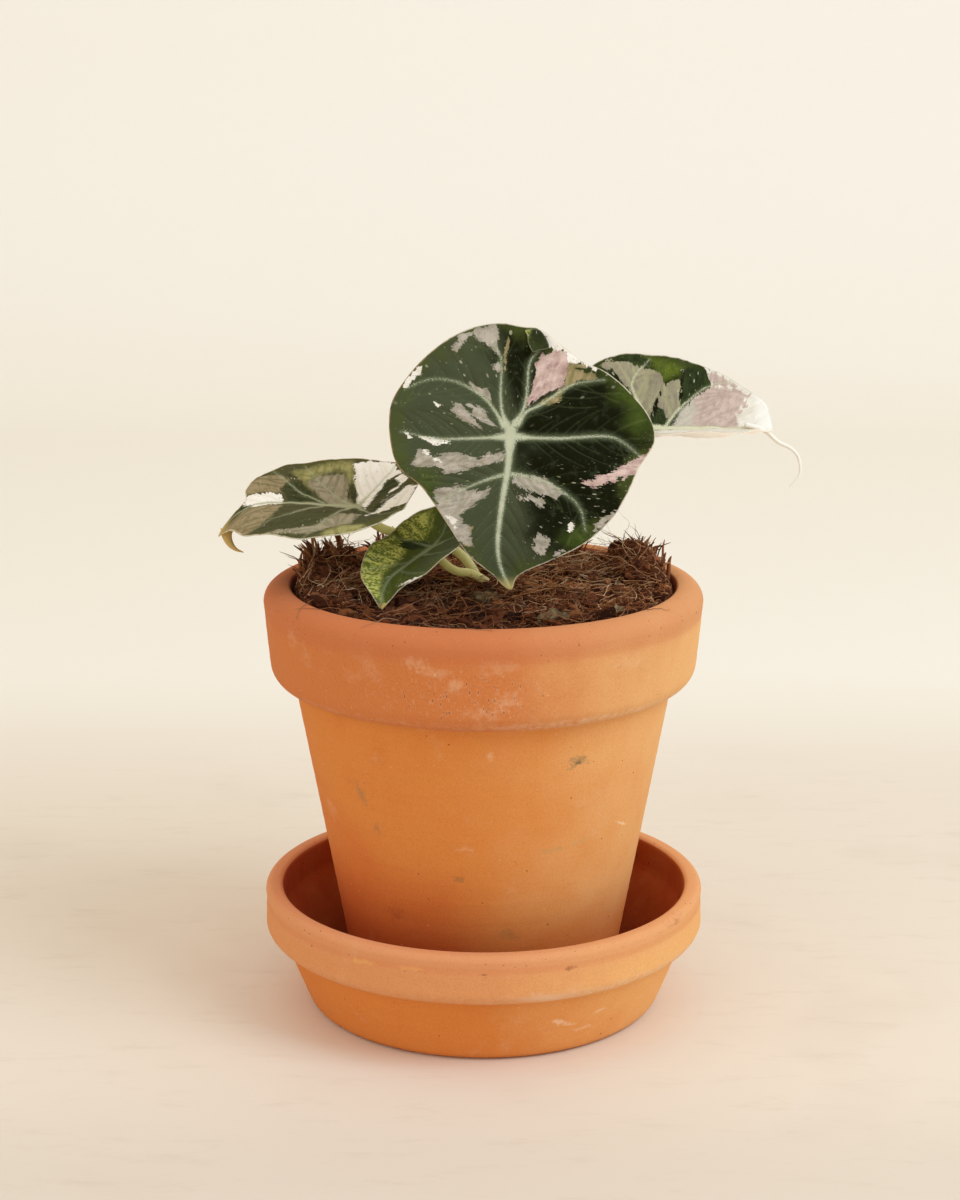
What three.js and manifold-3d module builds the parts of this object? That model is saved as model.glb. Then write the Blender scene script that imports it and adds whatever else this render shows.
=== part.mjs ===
// Potted alocasia with pink and green leaves, in a clay pot that stands in a clay saucer.
// Millimetres, Z up. The origin is on the pot's axis, on the surface that the saucer stands on.
// The viewer's side is -Y, and +X is to the viewer's right.
import * as THREE from "three";
import { mergeVertices } from "three/addons/utils/BufferGeometryUtils.js";
import Module from "manifold-3d";

const wasm = await Module();
wasm.setup();

// Clearance between pieces that touch on the real plant
const GAP = 0.3;

// Pot: a standard 14 cm clay pot, measured across its rim
const RIM_RADIUS = 70.3;
const RIM_TOP = 139.7;
const RIM_ROUND = 5.7;
const RIM_FOOT = { radius: 68.4, z: 108.2, round: 6.8 };
const BODY_TOP_RADIUS = 60.6;
const BODY_BASE_RADIUS = 42.4;
const POT_FLOOR = 7;
const POT_WALL = 6;
const DRAIN_RADIUS = 9;

// Inside of the pot, from its floor up to its mouth
const POT_INSIDE = {
  floorRadius: BODY_BASE_RADIUS - POT_WALL + 0.8,
  ledge: { radius: BODY_TOP_RADIUS - POT_WALL, z: RIM_FOOT.z - 2 },
  rim: { radius: 60.4, z: 117 },
  mouth: { radius: 61.2, z: RIM_TOP - RIM_ROUND },
};

// Saucer: a matching 14 cm saucer with a band round its top
const SAUCER_FLOOR = 6;
const SAUCER_TOP = 40;
const SAUCER_RADIUS = 71.4;
const SAUCER_BASE = { radius: 53.6, round: 5 };
const SAUCER_WALL = 6;
const SAUCER_HEEL = { radius: 60.2, z: 8 };
const SAUCER_SHOULDER = { radius: 66.2, z: 22.9 };
const BAND = { foot: 23.2, round: 4.6, topRound: 2.3 };
const SAUCER_MOUTH = { radius: 65.6, round: 2 };

// Round pieces are turned in this many steps
const TURN_STEPS = 48;

// Soil: its top lies below the pot's rim
const SOIL_EDGE = 135.2;
const SOIL_STEPS = 36;
const MOUND = { height: 1.8, spread: 22.4 };
const LUMP_FADE = 12;

// Crown: where the petioles leave the corm, a little behind the pot's axis
const CROWN = { x: 4, y: 11 };
const CORM_TOP = 129.7;
const CORM_HEIGHT = 19;
const CORM_RADIUS = 10.5;

const BLADE_THICKNESS = 0.8;

// Colours
const CLAY = 0xc0764a;
const WET_CLAY = 0xb06a44;
const COIR = 0x4a2c1b;
const CORM_BROWN = 0x8a6a45;
const LEAF_GREEN = 0x2c3f22;
const PETIOLE_GREEN = 0xb9c37a;

// Seeded random numbers from 0 to 1
function randomSource(seed) {
  let state = seed;
  return () => {
    state = (state + 0x6d2b79f5) | 0;
    let t = Math.imul(state ^ (state >>> 15), 1 | state);
    t = (t + Math.imul(t ^ (t >>> 7), 61 | t)) ^ t;
    return ((t ^ (t >>> 14)) >>> 0) / 4294967296;
  };
}

// Solids

function toSolid(geometry) {
  const bare = geometry.clone();
  bare.deleteAttribute("normal");
  bare.deleteAttribute("uv");
  const merged = mergeVertices(bare, 1e-4);
  return new wasm.Manifold(new wasm.Mesh({
    numProp: 3,
    vertProperties: new Float32Array(merged.attributes.position.array),
    triVerts: new Uint32Array(merged.index.array),
  }));
}

function toMesh(name, solid, colour, roughness) {
  const { vertProperties, triVerts } = solid.getMesh();
  const geometry = new THREE.BufferGeometry();
  geometry.setAttribute("position", new THREE.BufferAttribute(vertProperties, 3));
  geometry.setIndex(new THREE.BufferAttribute(triVerts, 1));
  geometry.computeVertexNormals();
  const material = new THREE.MeshStandardMaterial({ color: colour, roughness, metalness: 0 });
  const mesh = new THREE.Mesh(geometry, material);
  mesh.name = name;
  return mesh;
}

// A closed skin over stacked rings of points, with a pole at each end. The first ring is the lowest.
function skin(lowPole, rings, highPole) {
  const sides = rings[0].length;
  const positions = [lowPole, ...rings.flat(), highPole].flatMap((p) => [p.x, p.y, p.z]);
  const at = (ring, side) => 1 + ring * sides + (side % sides);
  const last = 1 + rings.length * sides;
  const index = [];
  for (let side = 0; side < sides; side++) {
    index.push(0, at(0, side + 1), at(0, side));
    for (let ring = 0; ring + 1 < rings.length; ring++) {
      index.push(at(ring, side), at(ring, side + 1), at(ring + 1, side + 1));
      index.push(at(ring, side), at(ring + 1, side + 1), at(ring + 1, side));
    }
    index.push(last, at(rings.length - 1, side), at(rings.length - 1, side + 1));
  }
  const geometry = new THREE.BufferGeometry();
  geometry.setAttribute("position", new THREE.Float32BufferAttribute(positions, 3));
  geometry.setIndex(index);
  return toSolid(geometry);
}

function arc(centreRadius, centreZ, radius, fromDegrees, toDegrees, steps) {
  return Array.from({ length: steps + 1 }, (_, i) => {
    const angle = THREE.MathUtils.degToRad(fromDegrees + ((toDegrees - fromDegrees) * i) / steps);
    return [centreRadius + radius * Math.cos(angle), centreZ + radius * Math.sin(angle)];
  });
}

// Turns a profile of [radius, z] points, given from the base up the outside, about the Z axis
function turned(profile, steps = TURN_STEPS) {
  const points = profile.map(([radius, z]) => new THREE.Vector2(radius, z));
  return toSolid(new THREE.LatheGeometry(points, steps).rotateX(Math.PI / 2));
}

// A round tube along a smooth curve through the points, with its radius given by the way along it
function stalk(points, radiusAt, steps, sides, extra = 0) {
  const curve = new THREE.CatmullRomCurve3(points.map((p) => new THREE.Vector3(...p)), false, "centripetal");
  const frames = curve.computeFrenetFrames(steps, false);
  const rings = [];
  for (let i = 0; i <= steps; i++) {
    const centre = curve.getPointAt(i / steps);
    if (i === 0) centre.addScaledVector(frames.tangents[0], -extra);
    if (i === steps) centre.addScaledVector(frames.tangents[steps], extra);
    const radius = radiusAt(i / steps) + extra;
    rings.push(Array.from({ length: sides }, (_, side) => {
      const angle = (side / sides) * 2 * Math.PI;
      return centre.clone()
        .addScaledVector(frames.normals[i], radius * Math.cos(angle))
        .addScaledVector(frames.binormals[i], radius * Math.sin(angle));
    }));
  }
  const middle = (ring) => ring.reduce((sum, p) => sum.add(p), new THREE.Vector3()).divideScalar(sides);
  return skin(middle(rings[0]), rings, middle(rings[steps]));
}

// Clay

function potProfile() {
  const base = SAUCER_FLOOR + GAP;
  const floorTop = base + POT_FLOOR;
  const { floorRadius, ledge, rim, mouth } = POT_INSIDE;
  const bevel = 1.2;
  return [
    [DRAIN_RADIUS, base],
    [BODY_BASE_RADIUS - bevel, base],
    [BODY_BASE_RADIUS, base + bevel],
    [BODY_TOP_RADIUS, RIM_FOOT.z - bevel],
    ...arc(RIM_FOOT.radius - RIM_FOOT.round, RIM_FOOT.z + RIM_FOOT.round, RIM_FOOT.round, -78, -4, 4),
    ...arc(RIM_RADIUS - RIM_ROUND, RIM_TOP - RIM_ROUND, RIM_ROUND, 5, 120, 5),
    [mouth.radius, mouth.z],
    [rim.radius, rim.z],
    [ledge.radius, ledge.z],
    [floorRadius, floorTop],
    [DRAIN_RADIUS, floorTop],
    [DRAIN_RADIUS, base],
  ];
}

function saucerProfile() {
  const insideHeel = SAUCER_HEEL.radius - SAUCER_WALL;
  const fillet = 3;
  return [
    [0, 0],
    ...arc(SAUCER_BASE.radius, SAUCER_BASE.round, SAUCER_BASE.round, -90, -25, 2),
    [SAUCER_HEEL.radius, SAUCER_HEEL.z],
    [SAUCER_SHOULDER.radius, SAUCER_SHOULDER.z],
    ...arc(SAUCER_RADIUS - BAND.round, BAND.foot + BAND.round, BAND.round, -70, 0, 3),
    ...arc(SAUCER_RADIUS - BAND.topRound, SAUCER_TOP - BAND.topRound, BAND.topRound, 0, 90, 2),
    ...arc(SAUCER_MOUTH.radius + SAUCER_MOUTH.round, SAUCER_TOP - SAUCER_MOUTH.round, SAUCER_MOUTH.round, 90, 180, 2),
    [SAUCER_SHOULDER.radius - 1, SAUCER_SHOULDER.z + SAUCER_WALL + 1],
    [SAUCER_SHOULDER.radius - SAUCER_WALL, SAUCER_SHOULDER.z - fillet],
    [insideHeel - 1, SAUCER_FLOOR + 2],
    [insideHeel - fillet, SAUCER_FLOOR],
    [0, SAUCER_FLOOR],
  ];
}

// Corm and roots

function cormRings(extra) {
  const heights = [0, 0.25, 0.6, 0.88, 1];
  const widths = [0.45, 0.8, 1, 0.97, 0.86];
  return heights.map((height, i) => {
    const grow = i === 0 ? -extra : i === heights.length - 1 ? extra : 0;
    const z = CORM_TOP - CORM_HEIGHT * (1 - height) + grow;
    return ringOf(CROWN, CORM_RADIUS * widths[i] + extra, z, 12);
  });
}

function ringOf(centre, radius, z, sides) {
  return Array.from({ length: sides }, (_, side) => {
    const angle = (side / sides) * 2 * Math.PI;
    return new THREE.Vector3(centre.x + radius * Math.cos(angle), centre.y + radius * Math.sin(angle), z);
  });
}

const ROOTS = [
  { bearing: 20, reach: 28, depth: 62 },
  { bearing: 110, reach: 26, depth: 78 },
  { bearing: 190, reach: 38, depth: 54 },
  { bearing: 280, reach: 38, depth: 84 },
];

function cormAndRoots(extra = 0) {
  const rings = cormRings(extra);
  const pole = (ring) => new THREE.Vector3(CROWN.x, CROWN.y, ring[0].z);
  let solid = skin(pole(rings[0]), rings, pole(rings[rings.length - 1]));
  for (const { bearing, reach, depth } of ROOTS) {
    const angle = THREE.MathUtils.degToRad(bearing);
    const out = (share, down) => [
      CROWN.x + reach * share * Math.cos(angle + share * 0.5),
      CROWN.y + reach * share * Math.sin(angle + share * 0.5),
      CORM_TOP - 8 - down,
    ];
    const path = [out(0.08, 0), out(0.45, depth * 0.12), out(0.8, depth * 0.5), out(1, depth)];
    solid = solid.add(stalk(path, (t) => 1.9 - 1.2 * t, 6, 4, extra));
  }
  return solid;
}

// Blades. A blade is a thin sheet laid over a plane: v runs from the junction with the petiole
// towards the tip, u runs across it and the face looks along the normal. The outline and the
// veins are drawn in that plane, and height() lifts the sheet off it.

const BLADES = {
  front: {
    junction: [8.3, -17, 190.9],
    towardsTip: [0, -14, -46.5],
    facing: [0, -46.5, 14],
    fold: 0, foldAtTip: 0, bow: 0, dome: 0.0018,
    tipDrop: { depth: 3, reach: 49, power: 2 },
    lobeDrop: { depth: 1, reach: 34 },
    outline: [
      [0, 49], [-2, 45], [-12.4, 40], [-22, 35.2], [-31.6, 26.5], [-36.5, 18.2], [-39.5, 11.5], [-44.6, 2.6],
      [-42.8, -4.6], [-36.5, -12.4], [-29.4, -18.4], [-22.2, -21.5], [-16, -26.3], [-8.5, -31.7], [-4, -32.2],
      [3.5, -33.4], [13, -31.6], [23, -25.8], [31.8, -17], [36.8, -8.6], [37.2, 2.5], [34.5, 11.2], [27.5, 17.3],
      [20, 28], [13, 38.4], [6, 44],
    ],
    veins: [
      [[0, 0], [0.8, 10.8], [3, 24.6], [4, 35.3], [3.2, 41.5], [0, 49]],
      [[1, -1.5], [2.6, -5.6], [3.1, -11.5], [3.1, -23], [6.3, -28.3]],
      [[-1, -1.9], [-3.8, -6.2], [-5, -11.5], [-6.1, -21.7], [-9.1, -24.9]],
      [[2, -1.5], [4.5, -5.6], [7.6, -9.6], [15.9, -14.9], [24.8, -16.1], [32, -13.5]],
      [[-2.3, -2.2], [-5, -5.9], [-9, -7.8], [-16.4, -12.8], [-20.2, -14.7], [-29, -16]],
      [[0, 1.9], [12.5, 2.4], [23.2, 2.3], [34, 0]],
      [[0, 1.9], [-15.2, 2.4], [-30, 1.6], [-33.7, 2.8], [-40.5, 8]],
      [[1, 13.3], [6.3, 14.8], [14, 17.8], [23, 22]],
      [[1, 13.3], [-4.4, 13.9], [-13.6, 17.2], [-21.3, 23.9], [-23, 31]],
    ],
    divisions: 2, rings: 8,
  },
  left: {
    junction: [-39.9, 0, 164.4],
    towardsTip: [-1, 0, 0],
    facing: [0, -0.225, 0.974],
    fold: 0.15, foldAtTip: -0.1, bow: 3, dome: 0,
    tipDrop: { depth: 10.5, reach: 45, power: 8 },
    lobeDrop: { depth: -4, reach: 20 },
    outline: [
      [-1, 44.5], [-4, 43.4], [-11, 39.5], [-20, 33.5], [-26.5, 25.5], [-32.5, 15], [-33, 6], [-28, -1.5],
      [-19, -9], [-10, -13.8], [-1, -16.5], [8, -19.5], [16, -19.5], [23, -14], [26.5, -6], [28.6, 6],
      [29.2, 17], [28, 27], [24, 34], [16, 37], [8, 36.5], [2.4, 40.5],
    ],
    veins: [
      [[0, 0], [2, 12], [3.6, 26], [3.6, 33], [1.5, 38], [-1, 44.5]],
      [[0, 0], [-5.8, -4.2], [-9, -9], [-5.5, -14.8]],
      [[0, 0], [5.4, -2.4], [12.7, -6], [23, -11.5]],
      [[0, 2], [-7.9, 7.4], [-16.3, 10.3], [-31, 15]],
      [[1, 11], [-3.6, 18], [-8.1, 24], [-19, 33]],
      [[1, 2], [7.7, 7.6], [16.2, 12.9], [27, 18.5]],
      [[3, 11], [10.3, 19], [19.6, 24.5], [26.5, 29]],
    ],
    divisions: 2, rings: 6,
  },
  right: {
    junction: [52.9, 17, 186.8],
    towardsTip: [1, 0, 0],
    facing: [0, -0.276, 0.961],
    fold: 0.44, foldAtTip: 0.44, bow: 0, dome: 0,
    tipDrop: { depth: 0, reach: 40, power: 2 },
    lobeDrop: { depth: 0, reach: 20 },
    outline: [
      [0, 40.1], [-5.5, 39.6], [-10.2, 38.6], [-14.7, 34.4], [-21.3, 27.4], [-25.9, 17.3], [-29, 9.1], [-30.7, 0],
      [-29.5, -9.1], [-24.9, -17.3], [-15.2, -21.3], [-6.1, -19.8], [0, -16.3], [6.1, -19.3], [14.2, -19.8],
      [22.4, -14.7], [26.4, -5.1], [26.9, 6.1], [24.9, 17.3], [20.3, 27.4], [12.2, 35.6], [5.1, 39.1],
    ],
    veins: [
      [[0, 0], [0, 40.1]],
      [[0, 0], [-10.2, -2], [-18.2, -4.3], [-23.5, -2.4], [-29, 2]],
      [[0, 5.1], [-6.9, 9.1], [-12.2, 13.7], [-18.6, 21.9], [-19.8, 29.5]],
      [[0, 0], [-5.1, -7.1], [-9.1, -17.3]],
      [[0, 0], [10.2, -2], [18.3, -4.1], [25.4, 2]],
      [[0, 5.1], [6.9, 9.1], [12.2, 13.7], [18.3, 23.4]],
      [[0, 0], [5.1, -7.1], [9.1, -17.3]],
    ],
    divisions: 2, rings: 6,
  },
  small: {
    junction: [-16.1, -5, 152.5],
    towardsTip: [-15.5, -25, -14],
    facing: [-0.3, -0.3, 1],
    fold: 0.4, foldAtTip: 0.4, bow: 4.5, dome: 0,
    tipDrop: { depth: 0, reach: 33, power: 3 },
    lobeDrop: { depth: 0, reach: 20 },
    outline: [
      [0, 33.4], [-0.8, 28.8], [-5.9, 23.5], [-12.1, 19.7], [-17.2, 14.2], [-17.7, 7.1], [-15.7, -3], [-12.1, -12.1],
      [-6.1, -18.2], [0, -16.7], [5.6, -19.7], [10.6, -14.7], [13.3, -6.4], [14.8, 0.5], [17.5, 7.6], [16.8, 15.7],
      [13.7, 21.7], [7.3, 27.6],
    ],
    veins: [
      [[0, 0], [3.1, 6.2], [5.5, 14.9], [6.1, 18.8], [4.9, 23.9], [0, 33.4]],
      [[0, 0], [0.3, -6], [3.5, -15.2]],
      [[0, 0], [7.9, 0.2], [13.7, 2]],
      [[3.7, 8.3], [11, 14.4], [14.7, 18.2]],
      [[0, 0], [-6.1, -5.1], [-9.1, -12.1]],
      [[2, 4], [-6.1, 6.6], [-15.2, 9.1]],
      [[5.1, 13.1], [-3, 16.7], [-10.1, 19.7]],
    ],
    divisions: 2, rings: 5,
  },
};

// The veins lie this deep in the flesh, which swells to its full height this far from them
const QUILT = { depth: 0.9, reach: 5 };

function distanceToVeins(u, v, veins) {
  const point = new THREE.Vector3(u, v, 0);
  const nearest = new THREE.Vector3();
  let least = Infinity;
  for (const vein of veins) {
    for (let i = 0; i + 1 < vein.length; i++) {
      const line = new THREE.Line3(new THREE.Vector3(...vein[i], 0), new THREE.Vector3(...vein[i + 1], 0));
      line.closestPointToPoint(point, true, nearest);
      least = Math.min(least, nearest.distanceTo(point));
    }
  }
  return least;
}

function height(blade, u, v) {
  const { tipDrop, lobeDrop } = blade;
  const toTip = THREE.MathUtils.clamp(v / tipDrop.reach, 0, 1.3);
  const toLobe = THREE.MathUtils.clamp(-v / lobeDrop.reach, 0, 1.5);
  const fold = blade.fold + (blade.foldAtTip - blade.fold) * toTip ** 2;
  const fromMidrib = u - blade.bow * Math.sin(Math.PI * Math.min(toTip, 1));
  const foldRound = 3;
  let lift = fold * (Math.hypot(fromMidrib, foldRound) - foldRound);
  lift -= blade.dome * u * u;
  lift -= tipDrop.depth * toTip ** tipDrop.power + lobeDrop.depth * toLobe ** 2;
  const fromVein = distanceToVeins(u, v, blade.veins) / QUILT.reach;
  return lift - QUILT.depth * Math.exp(-(fromVein ** 2));
}

function bladeAxes(blade) {
  const along = new THREE.Vector3(...blade.towardsTip).normalize();
  const normal = new THREE.Vector3(...blade.facing);
  normal.addScaledVector(along, -normal.dot(along)).normalize();
  return { along, normal, across: new THREE.Vector3().crossVectors(along, normal) };
}

function bladePoint(blade, u, v, below = 0) {
  const { along, normal, across } = bladeAxes(blade);
  return new THREE.Vector3(...blade.junction)
    .addScaledVector(across, u)
    .addScaledVector(along, v)
    .addScaledVector(normal, height(blade, u, v) - below);
}

// Both faces are split into the same triangles, rings of them about the junction
function bladeSolid(blade) {
  const corners = blade.outline.map(([u, v]) => new THREE.Vector3(u, v, 0));
  const curve = new THREE.CatmullRomCurve3(corners, true, "centripetal");
  const rim = curve.getPoints(corners.length * blade.divisions).slice(0, -1);
  const ringAt = (share, below) => rim.map((p) => bladePoint(blade, p.x * share, p.y * share, below));
  const shares = Array.from({ length: blade.rings }, (_, i) => (i + 1) / blade.rings);
  const under = shares.map((share) => ringAt(share, BLADE_THICKNESS));
  const over = shares.map((share) => ringAt(share, 0)).reverse();
  return skin(bladePoint(blade, 0, 0, BLADE_THICKNESS), [...under, ...over], bladePoint(blade, 0, 0));
}

// Drip tips that hang from the ends of two blades
const LEFT_HOOK = {
  path: [[-83.4, -0.5, 154], [-82.4, -1, 151.6], [-80.2, -1.5, 149.4], [-76.6, -2, 148.6]],
  radius: 1.25,
};
const RIGHT_TAIL = {
  path: [
    [89.5, 16.8, 186.4], [96.1, 16.5, 182], [100.4, 16.2, 177.3],
    [102, 16, 171.6], [100.4, 16, 167.9], [98.2, 16, 166.3],
  ],
  radius: 0.9,
};

function dripTip({ path, radius }, steps) {
  return stalk(path, (t) => radius * (1 - 0.6 * t), steps, 5);
}

// Petioles: each runs from the corm through the soil to just under its blade's junction

const PETIOLE_FOOT = CORM_TOP + 2 * GAP;
const PETIOLES = {
  front: {
    from: [6.5, 12, PETIOLE_FOOT],
    by: [[7, 12.5, 140], [8.5, 14, 156], [9.5, 10, 174], [8.6, -4, 187]],
    radius: 1.6,
  },
  left: {
    from: [-2, 11.5, PETIOLE_FOOT],
    by: [[-2.8, 11.5, 139], [-9.5, 11.5, 147.3], [-20.2, 11, 151.1], [-31.8, 7, 154.8]],
    radius: 1.5,
  },
  right: {
    from: [10, 16, PETIOLE_FOOT],
    by: [[11, 17, 140], [18, 20, 156], [33, 21, 171], [46, 19, 180.5]],
    radius: 1.5,
  },
  small: {
    from: [3, 6.5, PETIOLE_FOOT],
    by: [[2.2, 6.2, 136], [-3.5, 3.5, 140.9], [-9.1, -0.5, 142.9], [-13.1, -3.5, 146.7]],
    radius: 1.35,
  },
};

// Each petiole is thicker at its base, over the first part of its length
const PETIOLE_BASE = { radius: 2.2, share: 0.35 };

function petiole(key, extra = 0) {
  const { from, by, radius } = PETIOLES[key];
  const { normal } = bladeAxes(BLADES[key]);
  const arriving = bladePoint(BLADES[key], 0, 0).sub(new THREE.Vector3(...by[by.length - 1])).normalize();
  const slant = Math.sqrt(1 - arriving.dot(normal) ** 2);
  const end = bladePoint(BLADES[key], 0, 0, BLADE_THICKNESS + GAP + radius * slant);
  const radiusAt = (t) => radius + (PETIOLE_BASE.radius - radius) * Math.max(0, 1 - t / PETIOLE_BASE.share) ** 1.5;
  return stalk([from, ...by, end.toArray()], radiusAt, 12, 7, extra);
}

// Soil

// The lumpy top of the coir, higher round the crown and lower by the rim
function soilHeight(x, y) {
  const radius = Math.hypot(x, y);
  const mound = MOUND.height * Math.exp(-((Math.hypot(x - CROWN.x, y - CROWN.y) / MOUND.spread) ** 2));
  const lumps = 0.7 * Math.sin(x * 0.31 + 1.3) * Math.cos(y * 0.27 + 0.4)
    + 0.5 * Math.sin(x * 0.62 - y * 0.47 + 2.1);
  const fade = Math.min(1, (POT_INSIDE.mouth.radius - radius) / LUMP_FADE);
  return SOIL_EDGE + mound + lumps * Math.max(0, fade);
}

function soilBody() {
  const under = SAUCER_FLOOR + GAP + POT_FLOOR + GAP;
  const { floorRadius, ledge, rim } = POT_INSIDE;
  const edgeRadius = rim.radius + 0.1;
  const wall = [
    [floorRadius - GAP, under],
    [ledge.radius - GAP, ledge.z],
    [rim.radius - GAP, rim.z],
    [edgeRadius, SOIL_EDGE],
  ];
  const axis = { x: 0, y: 0 };
  const rings = wall.map(([radius, z]) => ringOf(axis, radius, z, SOIL_STEPS));
  for (const share of [0.9, 0.76, 0.62, 0.48, 0.34, 0.18]) {
    const ring = ringOf(axis, edgeRadius * share, 0, SOIL_STEPS);
    ring.forEach((p) => p.setZ(soilHeight(p.x, p.y)));
    rings.push(ring);
  }
  return skin(new THREE.Vector3(0, 0, under), rings, new THREE.Vector3(0, 0, soilHeight(0, 0)));
}

// Tufts of coir that stand up out of the soil near the rim
const TUFTS = [
  { bearing: 176, count: 5, tall: 10 },
  { bearing: 166, count: 7, tall: 12 },
  { bearing: 156, count: 6, tall: 11 },
  { bearing: 143, count: 3, tall: 9 },
  { bearing: 126, count: 3, tall: 8 },
  { bearing: 58, count: 3, tall: 8 },
  { bearing: 30, count: 5, tall: 10 },
  { bearing: 22, count: 4, tall: 10 },
];
const TUFT_RADIUS = 57.5;
const LOOSE_FIBRES = 14;
const FIBRE = { radius: 1.2, taper: 0.6, root: 2 };

// Each stands up and then leans, mostly outwards, above the rim
function standingFibre(x, y, lean, reach, rise) {
  const away = (share) => [x + reach * share * Math.cos(lean), y + reach * share * Math.sin(lean)];
  const ground = soilHeight(x, y);
  const path = [
    [...away(0), ground - FIBRE.root],
    [...away(0.25), ground + rise * 0.65],
    [...away(1), ground + rise],
  ];
  return stalk(path, (t) => FIBRE.radius - FIBRE.taper * t, 3, 3);
}

function coirTufts(random) {
  return TUFTS.flatMap(({ bearing, count, tall }) => Array.from({ length: count }, () => {
    const angle = THREE.MathUtils.degToRad(bearing + 10 * (random() - 0.5));
    const radius = TUFT_RADIUS + 2 * (random() - 0.5);
    const lean = angle + 1.8 * (random() - 0.5);
    const rise = tall * (0.8 + 0.2 * random());
    return standingFibre(radius * Math.cos(angle), radius * Math.sin(angle), lean, 4 + 5 * random(), rise);
  }));
}

// Fibres that arch out of the surface and back into it, away from the low front-left leaf
function looseFibres(random) {
  const fibres = [];
  while (fibres.length < LOOSE_FIBRES) {
    const bearing = random() * 2 * Math.PI;
    const radius = 18 + 34 * random();
    const [x, y] = [radius * Math.cos(bearing), radius * Math.sin(bearing)];
    const turn = random() * 2 * Math.PI;
    const reach = 7 + 6 * random();
    const [dx, dy] = [reach * Math.cos(turn), reach * Math.sin(turn)];
    const underLeaf = x < 0 && y < 5;
    if (underLeaf || Math.hypot(x + dx, y + dy) > 56) continue;
    const over = (share, rise) => {
      const [px, py] = [x + dx * share, y + dy * share];
      return [px, py, soilHeight(px, py) + rise];
    };
    fibres.push(stalk([over(0, -1.5), over(0.5, 1.2), over(1, -1.5)], () => 0.8, 4, 3));
  }
  return fibres;
}

function soil() {
  const random = randomSource(14);
  const raised = [...coirTufts(random), ...looseFibres(random)];
  let solid = raised.reduce((sum, piece) => sum.add(piece), soilBody());
  solid = solid.subtract(cormAndRoots(GAP));
  for (const key of Object.keys(PETIOLES)) solid = solid.subtract(petiole(key, GAP));
  return outerSkin(solid);
}

// Fills the small hollows that crossing fibres seal off, and drops scraps that nothing holds
function outerSkin(solid) {
  return solid.decompose().reduce((largest, piece) => (piece.volume() > largest.volume() ? piece : largest));
}

const plant = new THREE.Group();
plant.add(toMesh("saucer", turned(saucerProfile()), WET_CLAY, 0.85));
plant.add(toMesh("pot", turned(potProfile()), CLAY, 0.85));
plant.add(toMesh("soil", soil(), COIR, 0.95));
plant.add(toMesh("corm_and_roots", cormAndRoots(), CORM_BROWN, 0.8));
const dripTips = { left: dripTip(LEFT_HOOK, 6), right: dripTip(RIGHT_TAIL, 10) };
for (const [key, blade] of Object.entries(BLADES)) {
  const solid = dripTips[key] ? bladeSolid(blade).add(dripTips[key]) : bladeSolid(blade);
  plant.add(toMesh(`${key}_blade`, solid, LEAF_GREEN, 0.6));
  plant.add(toMesh(`${key}_petiole`, petiole(key), PETIOLE_GREEN, 0.5));
}

export default plant;
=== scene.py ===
"""Potted alocasia: fine leaves, soil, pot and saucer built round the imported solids.

Sizes in the classes are millimetres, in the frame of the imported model. Every mesh is scaled to
metres as it is made. -Y is the viewer's side, +X is to the viewer's right and Z is up.
"""

from __future__ import annotations

import logging
import math
import random
from dataclasses import dataclass, field
from enum import Enum
from typing import Any, Sequence

import bpy
import numpy as np
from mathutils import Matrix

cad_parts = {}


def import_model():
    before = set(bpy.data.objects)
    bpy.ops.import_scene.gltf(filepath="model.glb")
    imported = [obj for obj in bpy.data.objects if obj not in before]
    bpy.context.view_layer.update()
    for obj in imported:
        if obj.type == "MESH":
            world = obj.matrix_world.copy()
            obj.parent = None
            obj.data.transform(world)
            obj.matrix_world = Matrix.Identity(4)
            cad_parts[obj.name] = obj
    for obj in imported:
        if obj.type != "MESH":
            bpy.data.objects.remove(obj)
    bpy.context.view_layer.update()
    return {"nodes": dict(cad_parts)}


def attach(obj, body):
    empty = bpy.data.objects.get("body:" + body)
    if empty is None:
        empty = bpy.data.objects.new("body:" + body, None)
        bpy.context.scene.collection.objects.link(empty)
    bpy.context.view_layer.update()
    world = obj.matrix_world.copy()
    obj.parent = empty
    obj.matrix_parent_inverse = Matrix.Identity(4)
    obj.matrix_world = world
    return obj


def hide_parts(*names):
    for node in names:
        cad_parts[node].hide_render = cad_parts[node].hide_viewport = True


log = logging.getLogger("alocasia")

MM = 0.001

Pair = tuple[float, float]
Triple = tuple[float, float, float]
Colour = Triple
Flat = Sequence[Pair]


def srgb(red: float, green: float, blue: float) -> Colour:
    """Turns a colour as seen on a screen into the linear one that a shader takes.

    Args:
        red: 0 to 255.
        green: 0 to 255.
        blue: 0 to 255.

    Returns:
        The linear colour, each channel 0 to 1.
    """
    def linear(value: float) -> float:
        """Undoes the screen's curve for one channel."""
        share = value / 255
        return share / 12.92 if share <= 0.04045 else ((share + 0.055) / 1.055) ** 2.4

    return linear(red), linear(green), linear(blue)


# Nodes as Python expressions


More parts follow.
